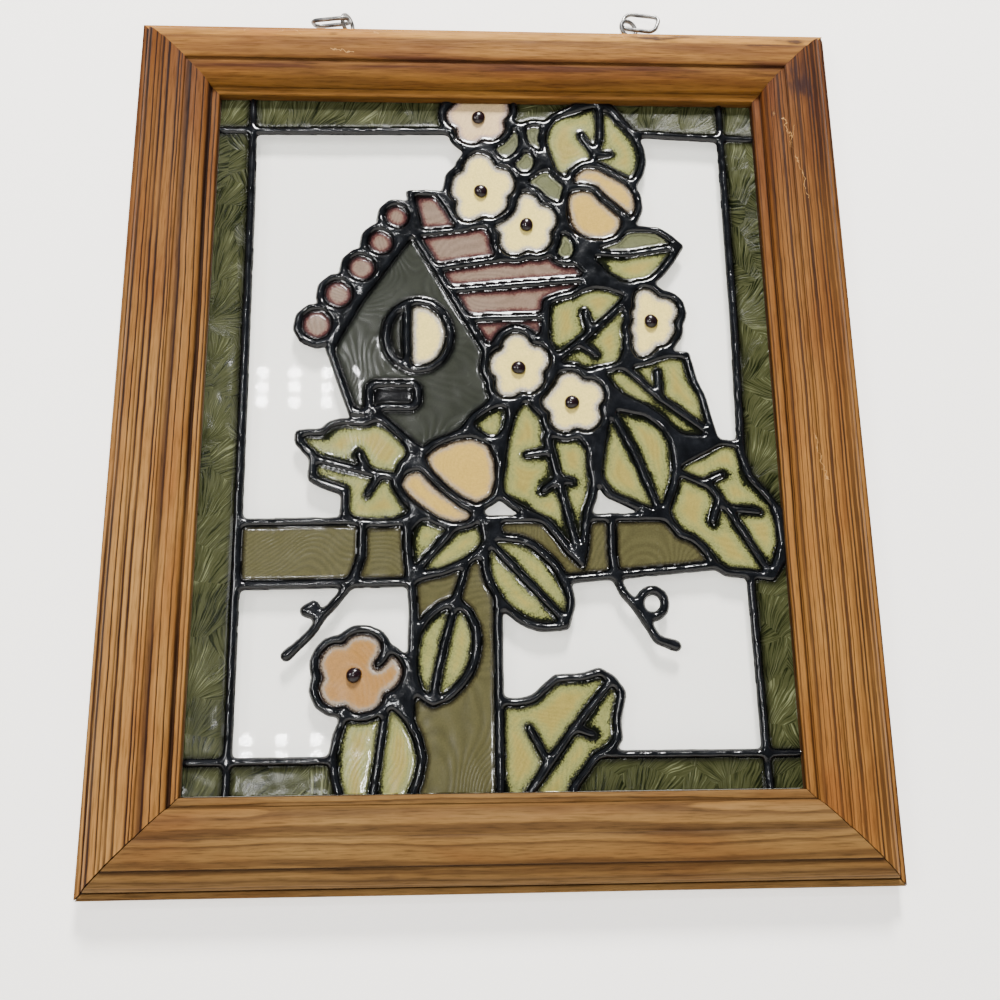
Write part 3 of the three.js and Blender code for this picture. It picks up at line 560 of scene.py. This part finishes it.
def contour_sheet(level, heights):
    """The part of the grid where level is above 0: points (x, z, height), faces and rim edges.
    The rim follows the contour, and its points have no height of their own."""
    level = np.where(np.abs(level) < 0.2 * CELL, np.copysign(0.2 * CELL, level), level)
    level = np.where(outside, -np.abs(level), level)
    inside = level > 0
    number = np.full(inside.shape, -1)
    number[inside] = np.arange(inside.sum())
    points = list(zip(X[inside], Z[inside], heights[inside]))
    corners = ((0, 0), (1, 0), (1, 1), (0, 1))
    stack = np.stack([inside[di:inside.shape[0] - 1 + di, dj:inside.shape[1] - 1 + dj]
                      for di, dj in corners])
    total = stack.sum(0)
    full = np.argwhere(total == 4)
    faces = [tuple(number[i + di, j + dj] for di, dj in corners) for i, j in full]
    crossing = {}

    def cross(a, b):
        key = (a, b) if a < b else (b, a)
        if key not in crossing:
            va, vb = level[a], level[b]
            t = va / (va - vb)
            x = X[a] + (X[b] - X[a]) * t
            z = Z[a] + (Z[b] - Z[a]) * t
            crossing[key] = len(points)
            points.append((x, z, None))
        return crossing[key]

    rim = []
    for i, j in np.argwhere((total > 0) & (total < 4)):
        ring, cuts = [], []
        for k in range(4):
            a = (i + corners[k][0], j + corners[k][1])
            b = (i + corners[(k + 1) % 4][0], j + corners[(k + 1) % 4][1])
            if inside[a]:
                ring.append(number[a])
            if inside[a] != inside[b]:
                vertex = cross(a, b)
                cuts.append((len(ring), inside[a]))
                ring.append(vertex)
        faces.append(tuple(int(v) for v in ring))
        for place, leaving in cuts:
            if leaving:
                rim.append((ring[place], ring[(place + 1) % len(ring)]))
    return points, faces, rim


def level_at(points, field):
    """A grid field read at points, between the grid's own points."""
    fx = np.interp(points[:, 0], grid_x, np.arange(len(grid_x)) * 0.999999)
    fz = np.interp(points[:, 1], grid_z, np.arange(len(grid_z)) * 0.999999)
    i, j = fx.astype(int), fz.astype(int)
    u, v = fx - i, fz - j
    return (field[i, j] * (1 - u) * (1 - v) + field[i + 1, j] * u * (1 - v)
            + field[i, j + 1] * (1 - u) * v + field[i + 1, j + 1] * u * v)


BACK_DEPTH = 5.0  # the flat back of a field of enamel is coloured like its middle


def laid_on_glass(name, level, heights, edge_height, finish, nodes, fields=None):
    """A raised sheet on the front of the glass, closed underneath, where level is above 0. It
    ends in a wall of edge_height at its rim, and carries the fields' values at its points."""
    points, faces, rim = contour_sheet(level, heights)
    rim_points = [p[2] is None for p in points]
    flat = np.array([(x, z, edge_height if h is None else h) for x, z, h in points])
    glass_y = back_y - GLASS_FRONT - 0.05 * MM
    places = np.c_[flat[:, 0] * MM, glass_y - flat[:, 2] * MM, middle_z + flat[:, 1] * MM]
    base_of = {}
    if edge_height > 0:
        for k in np.nonzero(rim_points)[0]:
            base_of[int(k)] = len(places) + len(base_of)
        base = places[list(base_of)].copy()
        base[:, 1] = glass_y
        places = np.vstack([places, base])
        flat = np.vstack([flat, flat[list(base_of)]])
    loops = chained(rim)
    if base_of:
        for loop in loops:
            for a, b in zip(loop, loop[1:] + loop[:1]):
                faces.append((a, b, base_of[b], base_of[a]))
    under = [[base_of.get(v, v) for v in loop] for loop in loops]
    order = [v for loop in under for v in loop]
    bottom = tessellate_polygon([[Vector((flat[v, 0], flat[v, 1], 0)) for v in loop]
                                 for loop in under])
    first_bottom = len(faces)
    faces.extend((order[a], order[b], order[c]) for a, b, c in bottom)
    piece = mesh_piece(name, places, faces, finish)
    mesh = piece.data
    smooth = np.ones(len(mesh.polygons), bool)
    smooth[first_bottom:] = False
    mesh.polygons.foreach_set("use_smooth", smooth)
    for key, field in (fields or {}).items():
        values = level_at(flat[:, :2], field)
        values[list(base_of.values())] = BACK_DEPTH
        store(mesh, key, values)
    fix_normals(mesh)
    mesh.set_sharp_from_angle(angle=math.radians(80))
    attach(piece, "root")
    if nodes:
        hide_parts(*nodes)
    return piece


def bead_level(node):
    """How far inside the outline of the leading each grid point lies, softened at corners."""
    loops = [faired(loop, 1.3) for loop in front_loops(node)]
    inside = within(loops)
    signed = np.where(inside, 1, -1) * distance_to(loops)
    near = np.abs(signed) < 6
    return np.where(near, blurred(signed, 0.9), signed)


lead, tree, shader = new_finish("black leading")
place = add(tree, "TexCoord").outputs["Object"]
grime = noise(tree, place, 160, 4)
dress(tree, shader, {
    "Base Color": ramp(tree, grime, [(0.35, srgb(5, 6, 8)), (0.7, srgb(14, 16, 20))]),
    "Roughness": ramp(tree, grime, [(0.3, grey(0.09)), (0.75, grey(0.24))]),
    "Normal": raised(tree, noise(tree, place, 230, 3), 0.4, 0.8),
    "Specular IOR Level": 0.28, "Coat Weight": 0.2, "Coat Roughness": 0.08})

network = bead_level("leading")
hole_ring = bead_level("leading_hole_ring")
wobble = unevenness(7)
swell = unevenness(30)


def lay_bead(name, signed, node):
    """Lays the round bead of leading within a node's outline, and returns its wavering level."""
    level = signed + 0.16 * wobble
    t = np.clip(level / BEAD_REACH, 0, 1)
    crown = BEAD_H * (1 - (1 - t) ** 2.3) * (1 + 0.05 * wobble + 0.05 * swell)
    pool = np.clip(level - BEAD_REACH, 0, 3)
    heights = crown + 0.07 * pool
    laid_on_glass(name, level, heights, 0, lead, [node])
    return level


lead_level = np.maximum(lay_bead("lead_lines", network, "leading"),
                        lay_bead("lead_hole_ring", hole_ring, "leading_hole_ring"))

# ---- enamel -------------------------------------------------------------------------------
# Every space in the picture but the clear panes is flooded with a translucent gel enamel. It
# has dried glassy, thin in the middle and drawn up dark and stippled against the leading, and
# the border's green enamel dried into fans of frost. Painted shade darkens it further along the
# leading.

# in mm: the enamel's thickness, its rise at the leading, and how far it runs in under the bead
ENAMEL_T, MENISCUS, TUCK = 1.0, 0.55, 0.45

clear_of_lead = lead_level < 0
field_number = np.zeros(X.shape, int)
for seed in zip(*np.nonzero(clear_of_lead & ~outside)):
    if field_number[seed]:
        continue
    label = field_number.max() + 1
    stack = [seed]
    field_number[seed] = label
    while stack:
        i, j = stack.pop()
        for a, b in ((i + 1, j), (i - 1, j), (i, j + 1), (i, j - 1)):
            if clear_of_lead[a, b] and not outside[a, b] and not field_number[a, b]:
                field_number[a, b] = label
                stack.append((a, b))


def grown(mask):
    """The mask and the grid points next to it."""
    wide = mask.copy()
    wide[1:] |= mask[:-1]
    wide[:-1] |= mask[1:]
    wide[:, 1:] |= mask[:, :-1]
    wide[:, :-1] |= mask[:, 1:]
    return wide


def enamel(name, heart, body, edge, spread, ripple=0.5, cloudy=0.5, halo=None):
    """Glassy enamel: edge colour at the leading, then a halo, body colour and, from spread mm
    inwards, heart colour, through a fine stipple. Ripple sets the fine lines in its skin, and
    cloudy how far the colours drift."""
    finish, tree, shader = new_finish(name)
    place = add(tree, "TexCoord").outputs["Object"]
    rim = add(tree, "Attribute", attribute_name="rim").outputs["Fac"]
    fine = noise(tree, place, 1500, 1)
    cloud = noise(tree, place, 55, 3)
    reach = calc(tree, "DIVIDE", rim, spread)
    stipple = calc(tree, "MULTIPLY", calc(tree, "SUBTRACT", fine, 0.5), 0.75)
    reach = calc(tree, "ADD", reach, stipple)
    drift = calc(tree, "MULTIPLY", calc(tree, "SUBTRACT", cloud, 0.5), 1.6 * cloudy)
    reach = calc(tree, "ADD", reach, drift)
    halo = halo or body
    colour = ramp(tree, reach, [(0.08, edge), (0.36, halo), (0.5, halo), (0.7, body), (1, heart)])
    # darker still within a few mm of the leading: partly the enamel's own dark edge, partly painted
    # shade from the bead
    near = calc(tree, "ADD", calc(tree, "DIVIDE", rim, 2.6), calc(tree, "MULTIPLY", stipple, 0.9))
    colour = blend_colour(tree, 1, colour, ramp(tree, near, [
        (0.0, grey(0.1)), (0.35, grey(0.38)), (0.75, grey(0.8)), (1.0, grey(1))]), "MULTIPLY")
    swirl = noise(tree, place, 17, 1, 0.3)
    lines = calc(tree, "SINE", calc(tree, "MULTIPLY", swirl, 260))
    grain = calc(tree, "MULTIPLY_ADD", calc(tree, "SUBTRACT", fine, 0.5), 0.5, 1)
    shade = calc(tree, "MULTIPLY_ADD", lines, 0.11 * ripple, grain)
    colour = blend_colour(tree, 1, colour, add(tree, "CombineColor", {
        "Red": shade, "Green": shade, "Blue": shade}).outputs["Color"], "MULTIPLY")
    skin = calc(tree, "MULTIPLY_ADD", lines, 0.12 * ripple, calc(tree, "MULTIPLY", fine, 0.12))
    dress(tree, shader, {
        "Base Color": colour, "Normal": raised(tree, skin, 0.5, 0.3),
        "Roughness": ramp(tree, cloud, [(0.3, grey(0.16)), (0.7, grey(0.3))]),
        "Specular IOR Level": 0.12, "Coat Weight": 0.22, "Coat Roughness": 0.05})
    return finish


def frosted_enamel(name, body, frost, deep):
    """Green enamel combed into patches of fine pale strokes, each patch fanning its own way."""
    finish, tree, shader = new_finish(name)
    place = add(tree, "TexCoord").outputs["Object"]
    parts = add(tree, "SeparateXYZ", {0: place})
    flat = add(tree, "CombineXYZ", {"X": parts.outputs["X"], "Y": parts.outputs["Z"]})
    bent = shaken(tree, flat.outputs[0], calc_vector(tree, "SCALE", place, 45), 7)
    patches = add(tree, "TexVoronoi", {"Vector": bent, "Scale": 44}, voronoi_dimensions="2D")
    lean = calc_vector(tree, "MULTIPLY", patches.outputs["Color"], (34 * MM, 26 * MM, 0))
    away = calc_vector(tree, "ADD", calc_vector(tree, "SUBTRACT", bent,
                                                patches.outputs["Position"]), lean)
    away = add(tree, "SeparateXYZ", {0: calc_vector(tree, "ADD", away, (-7 * MM, 4 * MM, 0))})
    angle = calc(tree, "ARCTAN2", away.outputs["Y"], away.outputs["X"])
    far = calc(tree, "SQRT", calc(tree, "ADD", calc(tree, "POWER", away.outputs["X"], 2),
                                  calc(tree, "POWER", away.outputs["Y"], 2)))
    tone = add(tree, "SeparateColor", {0: patches.outputs["Color"]}).outputs["Blue"]
    ray = add(tree, "CombineXYZ", {"X": calc(tree, "MULTIPLY", angle, 34),
                                   "Y": calc(tree, "MULTIPLY", far, 55),
                                   "Z": calc(tree, "MULTIPLY", tone, 40)})
    streak = noise(tree, ray.outputs[0], 1, 4, 0.6)
    patch = noise(tree, place, 30, 2)
    frostiness = calc(tree, "ADD", streak, calc(tree, "MULTIPLY",
                                                calc(tree, "SUBTRACT", patch, 0.5), 0.45))
    colour = ramp(tree, frostiness, [(0.36, deep), (0.5, body), (0.6, body), (0.74, frost)])
    rim = add(tree, "Attribute", attribute_name="rim").outputs["Fac"]
    shade = ramp(tree, calc(tree, "DIVIDE", rim, 4), [(0.0, grey(0.2)), (0.5, grey(0.75)),
                                                      (1.0, grey(1))])
    dress(tree, shader, {
        "Base Color": blend_colour(tree, 1, colour, shade, "MULTIPLY"),
        "Normal": raised(tree, streak, 0.6, 0.4),
        "Roughness": ramp(tree, streak, [(0.4, grey(0.18)), (0.7, grey(0.4))]),
        "Specular IOR Level": 0.08, "Coat Weight": 0.06, "Coat Roughness": 0.1})
    return finish


ENAMELS = {
    "border": frosted_enamel("border enamel", srgb(52, 54, 31), srgb(104, 107, 77),
                             srgb(14, 18, 6)),
    "wood_paint": enamel("fence enamel", srgb(67, 64, 40), srgb(62, 58, 36),
                         srgb(23, 20, 10), 2.4, 1, 0.4),
    "leaf": enamel("leaf enamel", srgb(129, 117, 59), srgb(124, 121, 67), srgb(18, 21, 8), 7,
                   0.5, 0.8, srgb(112, 114, 68)),
    "sage": enamel("sage enamel", srgb(84, 86, 61), srgb(67, 69, 49), srgb(16, 18, 11), 2.6,
                   0.3, 0.4, srgb(122, 124, 94)),
    "cream": enamel("cream enamel", srgb(212, 192, 112), srgb(196, 178, 118), srgb(47, 44, 34),
                    4.6, 0.2, 0.3, srgb(168, 160, 144)),
    "bud": enamel("bud enamel", srgb(168, 138, 66), srgb(160, 132, 76), srgb(52, 39, 28), 4.6,
                  0.3, 0.7, srgb(146, 130, 104)),
    "pink": enamel("pink enamel", srgb(190, 163, 122), srgb(168, 140, 116), srgb(59, 46, 39),
                   4, 0.25, 0.3, srgb(160, 142, 132)),
    "peach": enamel("peach enamel", srgb(136, 98, 50), srgb(134, 104, 66), srgb(52, 36, 28),
                    4.6, 0.3, 0.5, srgb(136, 122, 106)),
    "house": enamel("nest box enamel", srgb(37, 39, 33), srgb(33, 35, 30), srgb(9, 10, 8), 3,
                    1, 0.5),
    "tile": enamel("roof enamel", srgb(107, 90, 77), srgb(92, 68, 60), srgb(23, 6, 9),
                   4, 0.8, 0.4, srgb(66, 38, 37)),
    "black": enamel("black enamel", srgb(6, 6, 8), srgb(6, 6, 7), srgb(3, 3, 4), 2,
                    0.2, 0.2),
    "shade": enamel("shaded hole enamel", srgb(37, 38, 29), srgb(26, 27, 21), srgb(6, 7, 6),
                    4, 0.4, 0.4),
}

# The smaller fields that have no solid of their own: a name, an enamel, and a place in each in
# mm from the sight's middle.
SMALL_FIELDS = [
    ("leaf_upper_low", "leaf", 64, 48), ("leaf_hanging_left", "leaf", 10, -88),
    ("leaf_hanging_right", "leaf", 24, -89), ("leaf_almond_right", "leaf", -21, -130),
    ("leaf_almond_left", "leaf", -35, -123), ("petal_lower", "bud", -29, -48),
    ("bud_back", "bud", 76, 135), ("leaf_pair_low", "leaf", 86, 91),
    ("leaf_pair_top", "sage", 86, 108), ("leaf_under_low", "leaf", 76, 21),
    ("corner_top_right", "border", 150, 189), ("corner_top_left", "border", -150, 184),
    ("corner_foot_left", "border", -143, -191), ("corner_foot_right", "border", 151, -186),
    ("border_top_middle", "border", 23, 190), ("post_top", "wood_paint", -35, -94),
    ("leaf_knot_right", "leaf", -20, -73), ("leaf_knot_left", "leaf", -36, -70),
    ("ridge_tile", "tile", -33, 122), ("edge_tile_1", "tile", -53, 123),
    ("edge_tile_2", "tile", -60, 105), ("edge_tile_3", "tile", -77, 89),
    ("edge_tile_4", "tile", -90, 73), ("edge_tile_5", "tile", -97, 57),
    ("roof_foot", "tile", -1, 51), ("leaf_wedge", "sage", 35, 142), ("bud_small", "leaf", -1, -2),
    ("perch", "black", -56, 15), ("leaf_tip", "sage", 14, 168), ("hole_left", "shade", -52, 49),
    ("leaf_drop", "sage", 42, 105), ("berry", "sage", 21, 157), ("leaf_chip", "sage", 27, 177),
    ("rail_middle", "wood_paint", 27, -66),
]

hum = unevenness(9)


def flood(name, kind, label, nodes):
    """Floods one numbered field with an enamel, in place of the CAD nodes in it."""
    own = field_number == label
    reach = grown(grown(own))
    level = np.where(reach, TUCK - lead_level, -1)
    from_lead = np.clip(-lead_level, 0, None)
    heights = ENAMEL_T + MENISCUS * np.exp(-from_lead / 0.9) + 0.07 * hum
    laid_on_glass(name, level, heights, ENAMEL_T, ENAMELS[kind],
                  nodes, {"rim": -lead_level})


slots = {part["node"]: part["material_slot"] for part in frame["record"]["subparts"]}
flooded = {}
for node in sorted(frame["nodes"]):
    if node.startswith("enamel_"):
        inside = within(front_loops(node)) & (field_number > 0)
        flooded.setdefault(int(np.bincount(field_number[inside]).argmax()), []).append(node)
for label, nodes in flooded.items():
    kind = slots[nodes[0]].replace("enamel_", "")
    if "bud" in nodes[0] or "petal" in nodes[0]:
        kind = "bud"
    flood(nodes[0].replace("enamel_", "field_"), kind, label, nodes)
for name, kind, x, z in SMALL_FIELDS:
    i, j = np.abs(grid_x - x).argmin(), np.abs(grid_z - z).argmin()
    label = int(field_number[i, j])
    if label and label not in flooded:
        flooded[label] = []
        flood("field_" + name, kind, label, [])

# ---- drops --------------------------------------------------------------------------------
# A drop of dark red enamel at the middle of each flower, let fall on the dry petals. It has set
# to a small glossy dome.

garnet, tree, shader = new_finish("dark red drop")
place = add(tree, "TexCoord").outputs["Object"]
dress(tree, shader, {
    "Base Color": ramp(tree, noise(tree, place, 700, 2),
                       [(0.3, srgb(10, 3, 6)), (0.7, srgb(24, 6, 12))]),
    "Normal": raised(tree, noise(tree, place, 500, 1), 0.2, 0.3),
    "Roughness": 0.25, "Specular IOR Level": 0.25, "Coat Weight": 0.3, "Coat Roughness": 0.06})

for number, node in enumerate(sorted(n for n in frame["nodes"] if n.startswith("drop_"))):
    low, high = (Vector(corner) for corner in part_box(node))
    middle = (low + high) / 2
    radius = (high.x - low.x) / 2
    rise = high.y - low.y
    around, rings = 40, 12
    points = [(middle.x, high.y - rise, middle.z)]
    for r in range(1, rings + 1):
        t = r / rings
        for k in range(around):
            a = k / around * math.tau
            lump = 1 + 0.035 * math.sin(2 * a + number) + 0.02 * math.sin(3 * a + 2 * number)
            out = radius * math.sin(t * math.pi / 2) * (lump - 0.03)
            points.append((middle.x + out * math.cos(a), high.y - rise * math.cos(t * math.pi / 2),
                           middle.z + out * math.sin(a)))
    base = len(points)
    points.append((middle.x, high.y, middle.z))
    faces = [(0, 1 + k, 1 + (k + 1) % around) for k in range(around)]
    for r in range(rings - 1):
        a, b = 1 + r * around, 1 + (r + 1) * around
        for k in range(around):
            n = (k + 1) % around
            faces.append((a + k, b + k, b + n, a + n))
    last = 1 + (rings - 1) * around
    faces += [(last + (k + 1) % around, last + k, base) for k in range(around)]
    bead = mesh_piece(node.replace("drop_", "bead_"), points, faces, garnet)
    fix_normals(bead.data)
    bead.data.set_sharp_from_angle(angle=math.radians(60))
    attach(bead, "root")
    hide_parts(node)

# ---- hangers ------------------------------------------------------------------------------
# Two screw eyes of grey steel wire, turned into the top edge well in from its ends. A loose link
# of the same wire lies in each, to hang the window by.

steel, tree, shader = new_finish("grey steel wire")
tarnish = noise(tree, add(tree, "TexCoord").outputs["Object"], 260, 4)
dress(tree, shader, {
    "Base Color": ramp(tree, tarnish, [(0.35, srgb(70, 70, 72)), (0.7, srgb(150, 148, 144))]),
    "Roughness": ramp(tree, tarnish, [(0.3, grey(0.5)), (0.7, grey(0.28))]),
    "Normal": raised(tree, tarnish, 0.2, 0.1), "Metallic": 0.9})
WIRE_R, CORNER_R, EYE_R = 1.2 * MM, 4 * MM, 5.2 * MM


def lie_of(node, above=-math.inf):
    """Middle and axes, longest first, of a CAD node's points above a height."""
    points = np.array([v.co[:] for v in frame["nodes"][node].data.vertices])
    points = points[points[:, 2] > above]
    middle = (points.max(0) + points.min(0)) / 2
    for _ in range(3):
        axes = np.linalg.svd(points - points.mean(0), full_matrices=False)[2]
        along = (points - middle) @ axes.T
        middle = middle + ((along.max(0) + along.min(0)) / 2) @ axes
    return middle, axes, along.max(0) - along.min(0)


def wire(name, runs, closed, node):
    """Round wire along runs of points, each run its own body of the one piece."""
    points, faces = [], []
    around = 16
    for run, shut in zip(runs, closed):
        run = [Vector(p) for p in run]
        base = len(points)
        side = None
        for i, here in enumerate(run):
            ahead = run[(i + 1) % len(run)] if shut else run[min(i + 1, len(run) - 1)]
            behind = run[i - 1] if shut or i else run[0]
            heading = (ahead - behind).normalized()
            side = (heading.orthogonal() if side is None
                    else side - heading * side.dot(heading)).normalized()
            up = heading.cross(side)
            for k in range(around):
                a = k / around * math.tau
                points.append(here + (side * math.cos(a) + up * math.sin(a)) * WIRE_R)
        spans = len(run) if shut else len(run) - 1
        first = points[base:base + around]
        last = points[base + (len(run) - 1) * around:base + len(run) * around]
        skew = min(range(around), key=lambda s: sum(
            (last[k] - first[(k + s) % around]).length for k in range(around))) if shut else 0
        for i in range(spans):
            a = base + i * around
            b = base + ((i + 1) % len(run)) * around
            twist = skew if shut and i == spans - 1 else 0
            for k in range(around):
                n = (k + 1) % around
                faces.append((a + k, a + n, b + (n + twist) % around, b + (k + twist) % around))
        if not shut:
            end = base + (len(run) - 1) * around
            faces.append(tuple(base + k for k in range(around)))
            faces.append(tuple(end + k for k in reversed(range(around))))
    piece = mesh_piece(name, points, faces, steel)
    fix_normals(piece.data)
    piece.data.set_sharp_from_angle(angle=math.radians(60))
    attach(piece, "root")
    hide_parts(node)
    return piece


for side in ("left", "right"):
    node = "hanging_link_" + side
    middle, axes, size = lie_of(node)
    half_l, half_w = size[0] / 2 - WIRE_R - CORNER_R, size[1] / 2 - WIRE_R - CORNER_R
    run = []
    for k, (su, sv) in enumerate(((1, 1), (-1, 1), (-1, -1), (1, -1))):
        for i in range(9):
            a = (k + i / 8) * math.pi / 2
            u = su * half_l + CORNER_R * math.cos(a)
            v = sv * half_w + CORNER_R * math.sin(a)
            run.append(middle + axes[0] * u + axes[1] * v)
    wire("link_" + side, [run], [True], node)

    node = "screw_eye_" + side
    middle, axes, size = lie_of(node, outer_high.z + 2 * MM)
    low, high = (Vector(corner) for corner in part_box(node))
    # of the ring's two long axes, the one that lies flat
    level = axes[0] if abs(axes[0][2]) < 0.7 else axes[1]
    across = Vector((level[0], level[1], 0)).normalized()
    centre = Vector((middle[0], middle[1], high.z - WIRE_R - EYE_R))
    ring = [centre + across * EYE_R * math.cos(a) + Vector((0, 0, EYE_R * math.sin(a)))
            for a in (k / 48 * math.tau - math.pi / 2 for k in range(48))]
    shank = [(centre.x, centre.y, z) for z in np.linspace(centre.z - EYE_R, low.z, 8)]
    wire("eye_" + side, [ring, shank], [True, False], node)

# ---- stage --------------------------------------------------------------------------------
# A white wall close behind the window, which is not seen from its rear, and a pale floor a
# metre below. Soft light falls from above, with small bulbs that glint on the glossy parts.

wall_paint, tree, shader = new_finish("white wall")
dress(tree, shader, {"Base Color": srgb(238, 234, 228), "Roughness": 0.7,
                     "Emission Color": srgb(252, 249, 245), "Emission Strength": 1.0})
rear = add(tree, "NewGeometry").outputs["Backfacing"]
unseen = add(tree, "BsdfTransparent")
choice = add(tree, "MixShader", {0: rear})
tree.links.new(shader.outputs[0], choice.inputs[1])
tree.links.new(unseen.outputs[0], choice.inputs[2])
tree.links.new(choice.outputs[0], tree.nodes["Material Output"].inputs["Surface"])
floor_paint, tree, shader = new_finish("pale floor")
dress(tree, shader, {"Base Color": srgb(214, 212, 208), "Roughness": 0.6})
HALF_ROOM = 3.0
CORNERS = [(-HALF_ROOM, -HALF_ROOM), (HALF_ROOM, -HALF_ROOM), (HALF_ROOM, HALF_ROOM),
           (-HALF_ROOM, HALF_ROOM)]
wall_y, floor_z = back_y + 0.6 * MM, outer_low.z - 1.1
wall = mesh_piece("wall", [(x, wall_y, z) for x, z in CORNERS], [(0, 1, 2, 3)], wall_paint)
floor = mesh_piece("floor", [(x, y, floor_z) for x, y in CORNERS], [(0, 1, 2, 3)], floor_paint)
wall.visible_shadow = False


def lamp(name, place, target, size, power, colour=(1, 1, 1)):
    data = bpy.data.lights.new(name, "AREA")
    data.shape = "DISK"
    data.size = size
    data.energy = power
    data.color = colour
    light = bpy.data.objects.new(name, data)
    light.location = place
    light.visible_camera = False
    light.rotation_euler = (Vector(target) - Vector(place)).to_track_quat("-Z", "Y").to_euler()
    bpy.context.collection.objects.link(light)


sight = (0, 0, middle_z)
lamp("ceiling", (0.15, -1.35, middle_z + 1.95), sight, 0.5, 180, (1, 0.99, 0.97))
lamp("side", (-1.9, -2.0, middle_z + 0.3), sight, 0.8, 34)
lamp("behind", (0.6, 1.8, middle_z + 0.8), sight, 1.4, 40)
# two fixtures of nine small bulbs, which glint on the glass and the leading
BULBS_X, BULBS_Y, BULB_STEP_X, BULB_STEP_Z = -0.456, -2.15, 0.088, 0.042
for height in (0.58, -0.4):
    for column in (-1, 0, 1):
        for row in (-1, 0, 1):
            place = (BULBS_X + BULB_STEP_X * column, BULBS_Y, height + BULB_STEP_Z * row)
            lamp("bulb", place, sight, 0.034, 1.4)

world = bpy.data.worlds.new("room light")
world.use_nodes = True
world.node_tree.nodes["Background"].inputs["Color"].default_value = (0.95, 0.97, 1, 1)
world.node_tree.nodes["Background"].inputs["Strength"].default_value = 0.15
bpy.context.scene.world = world
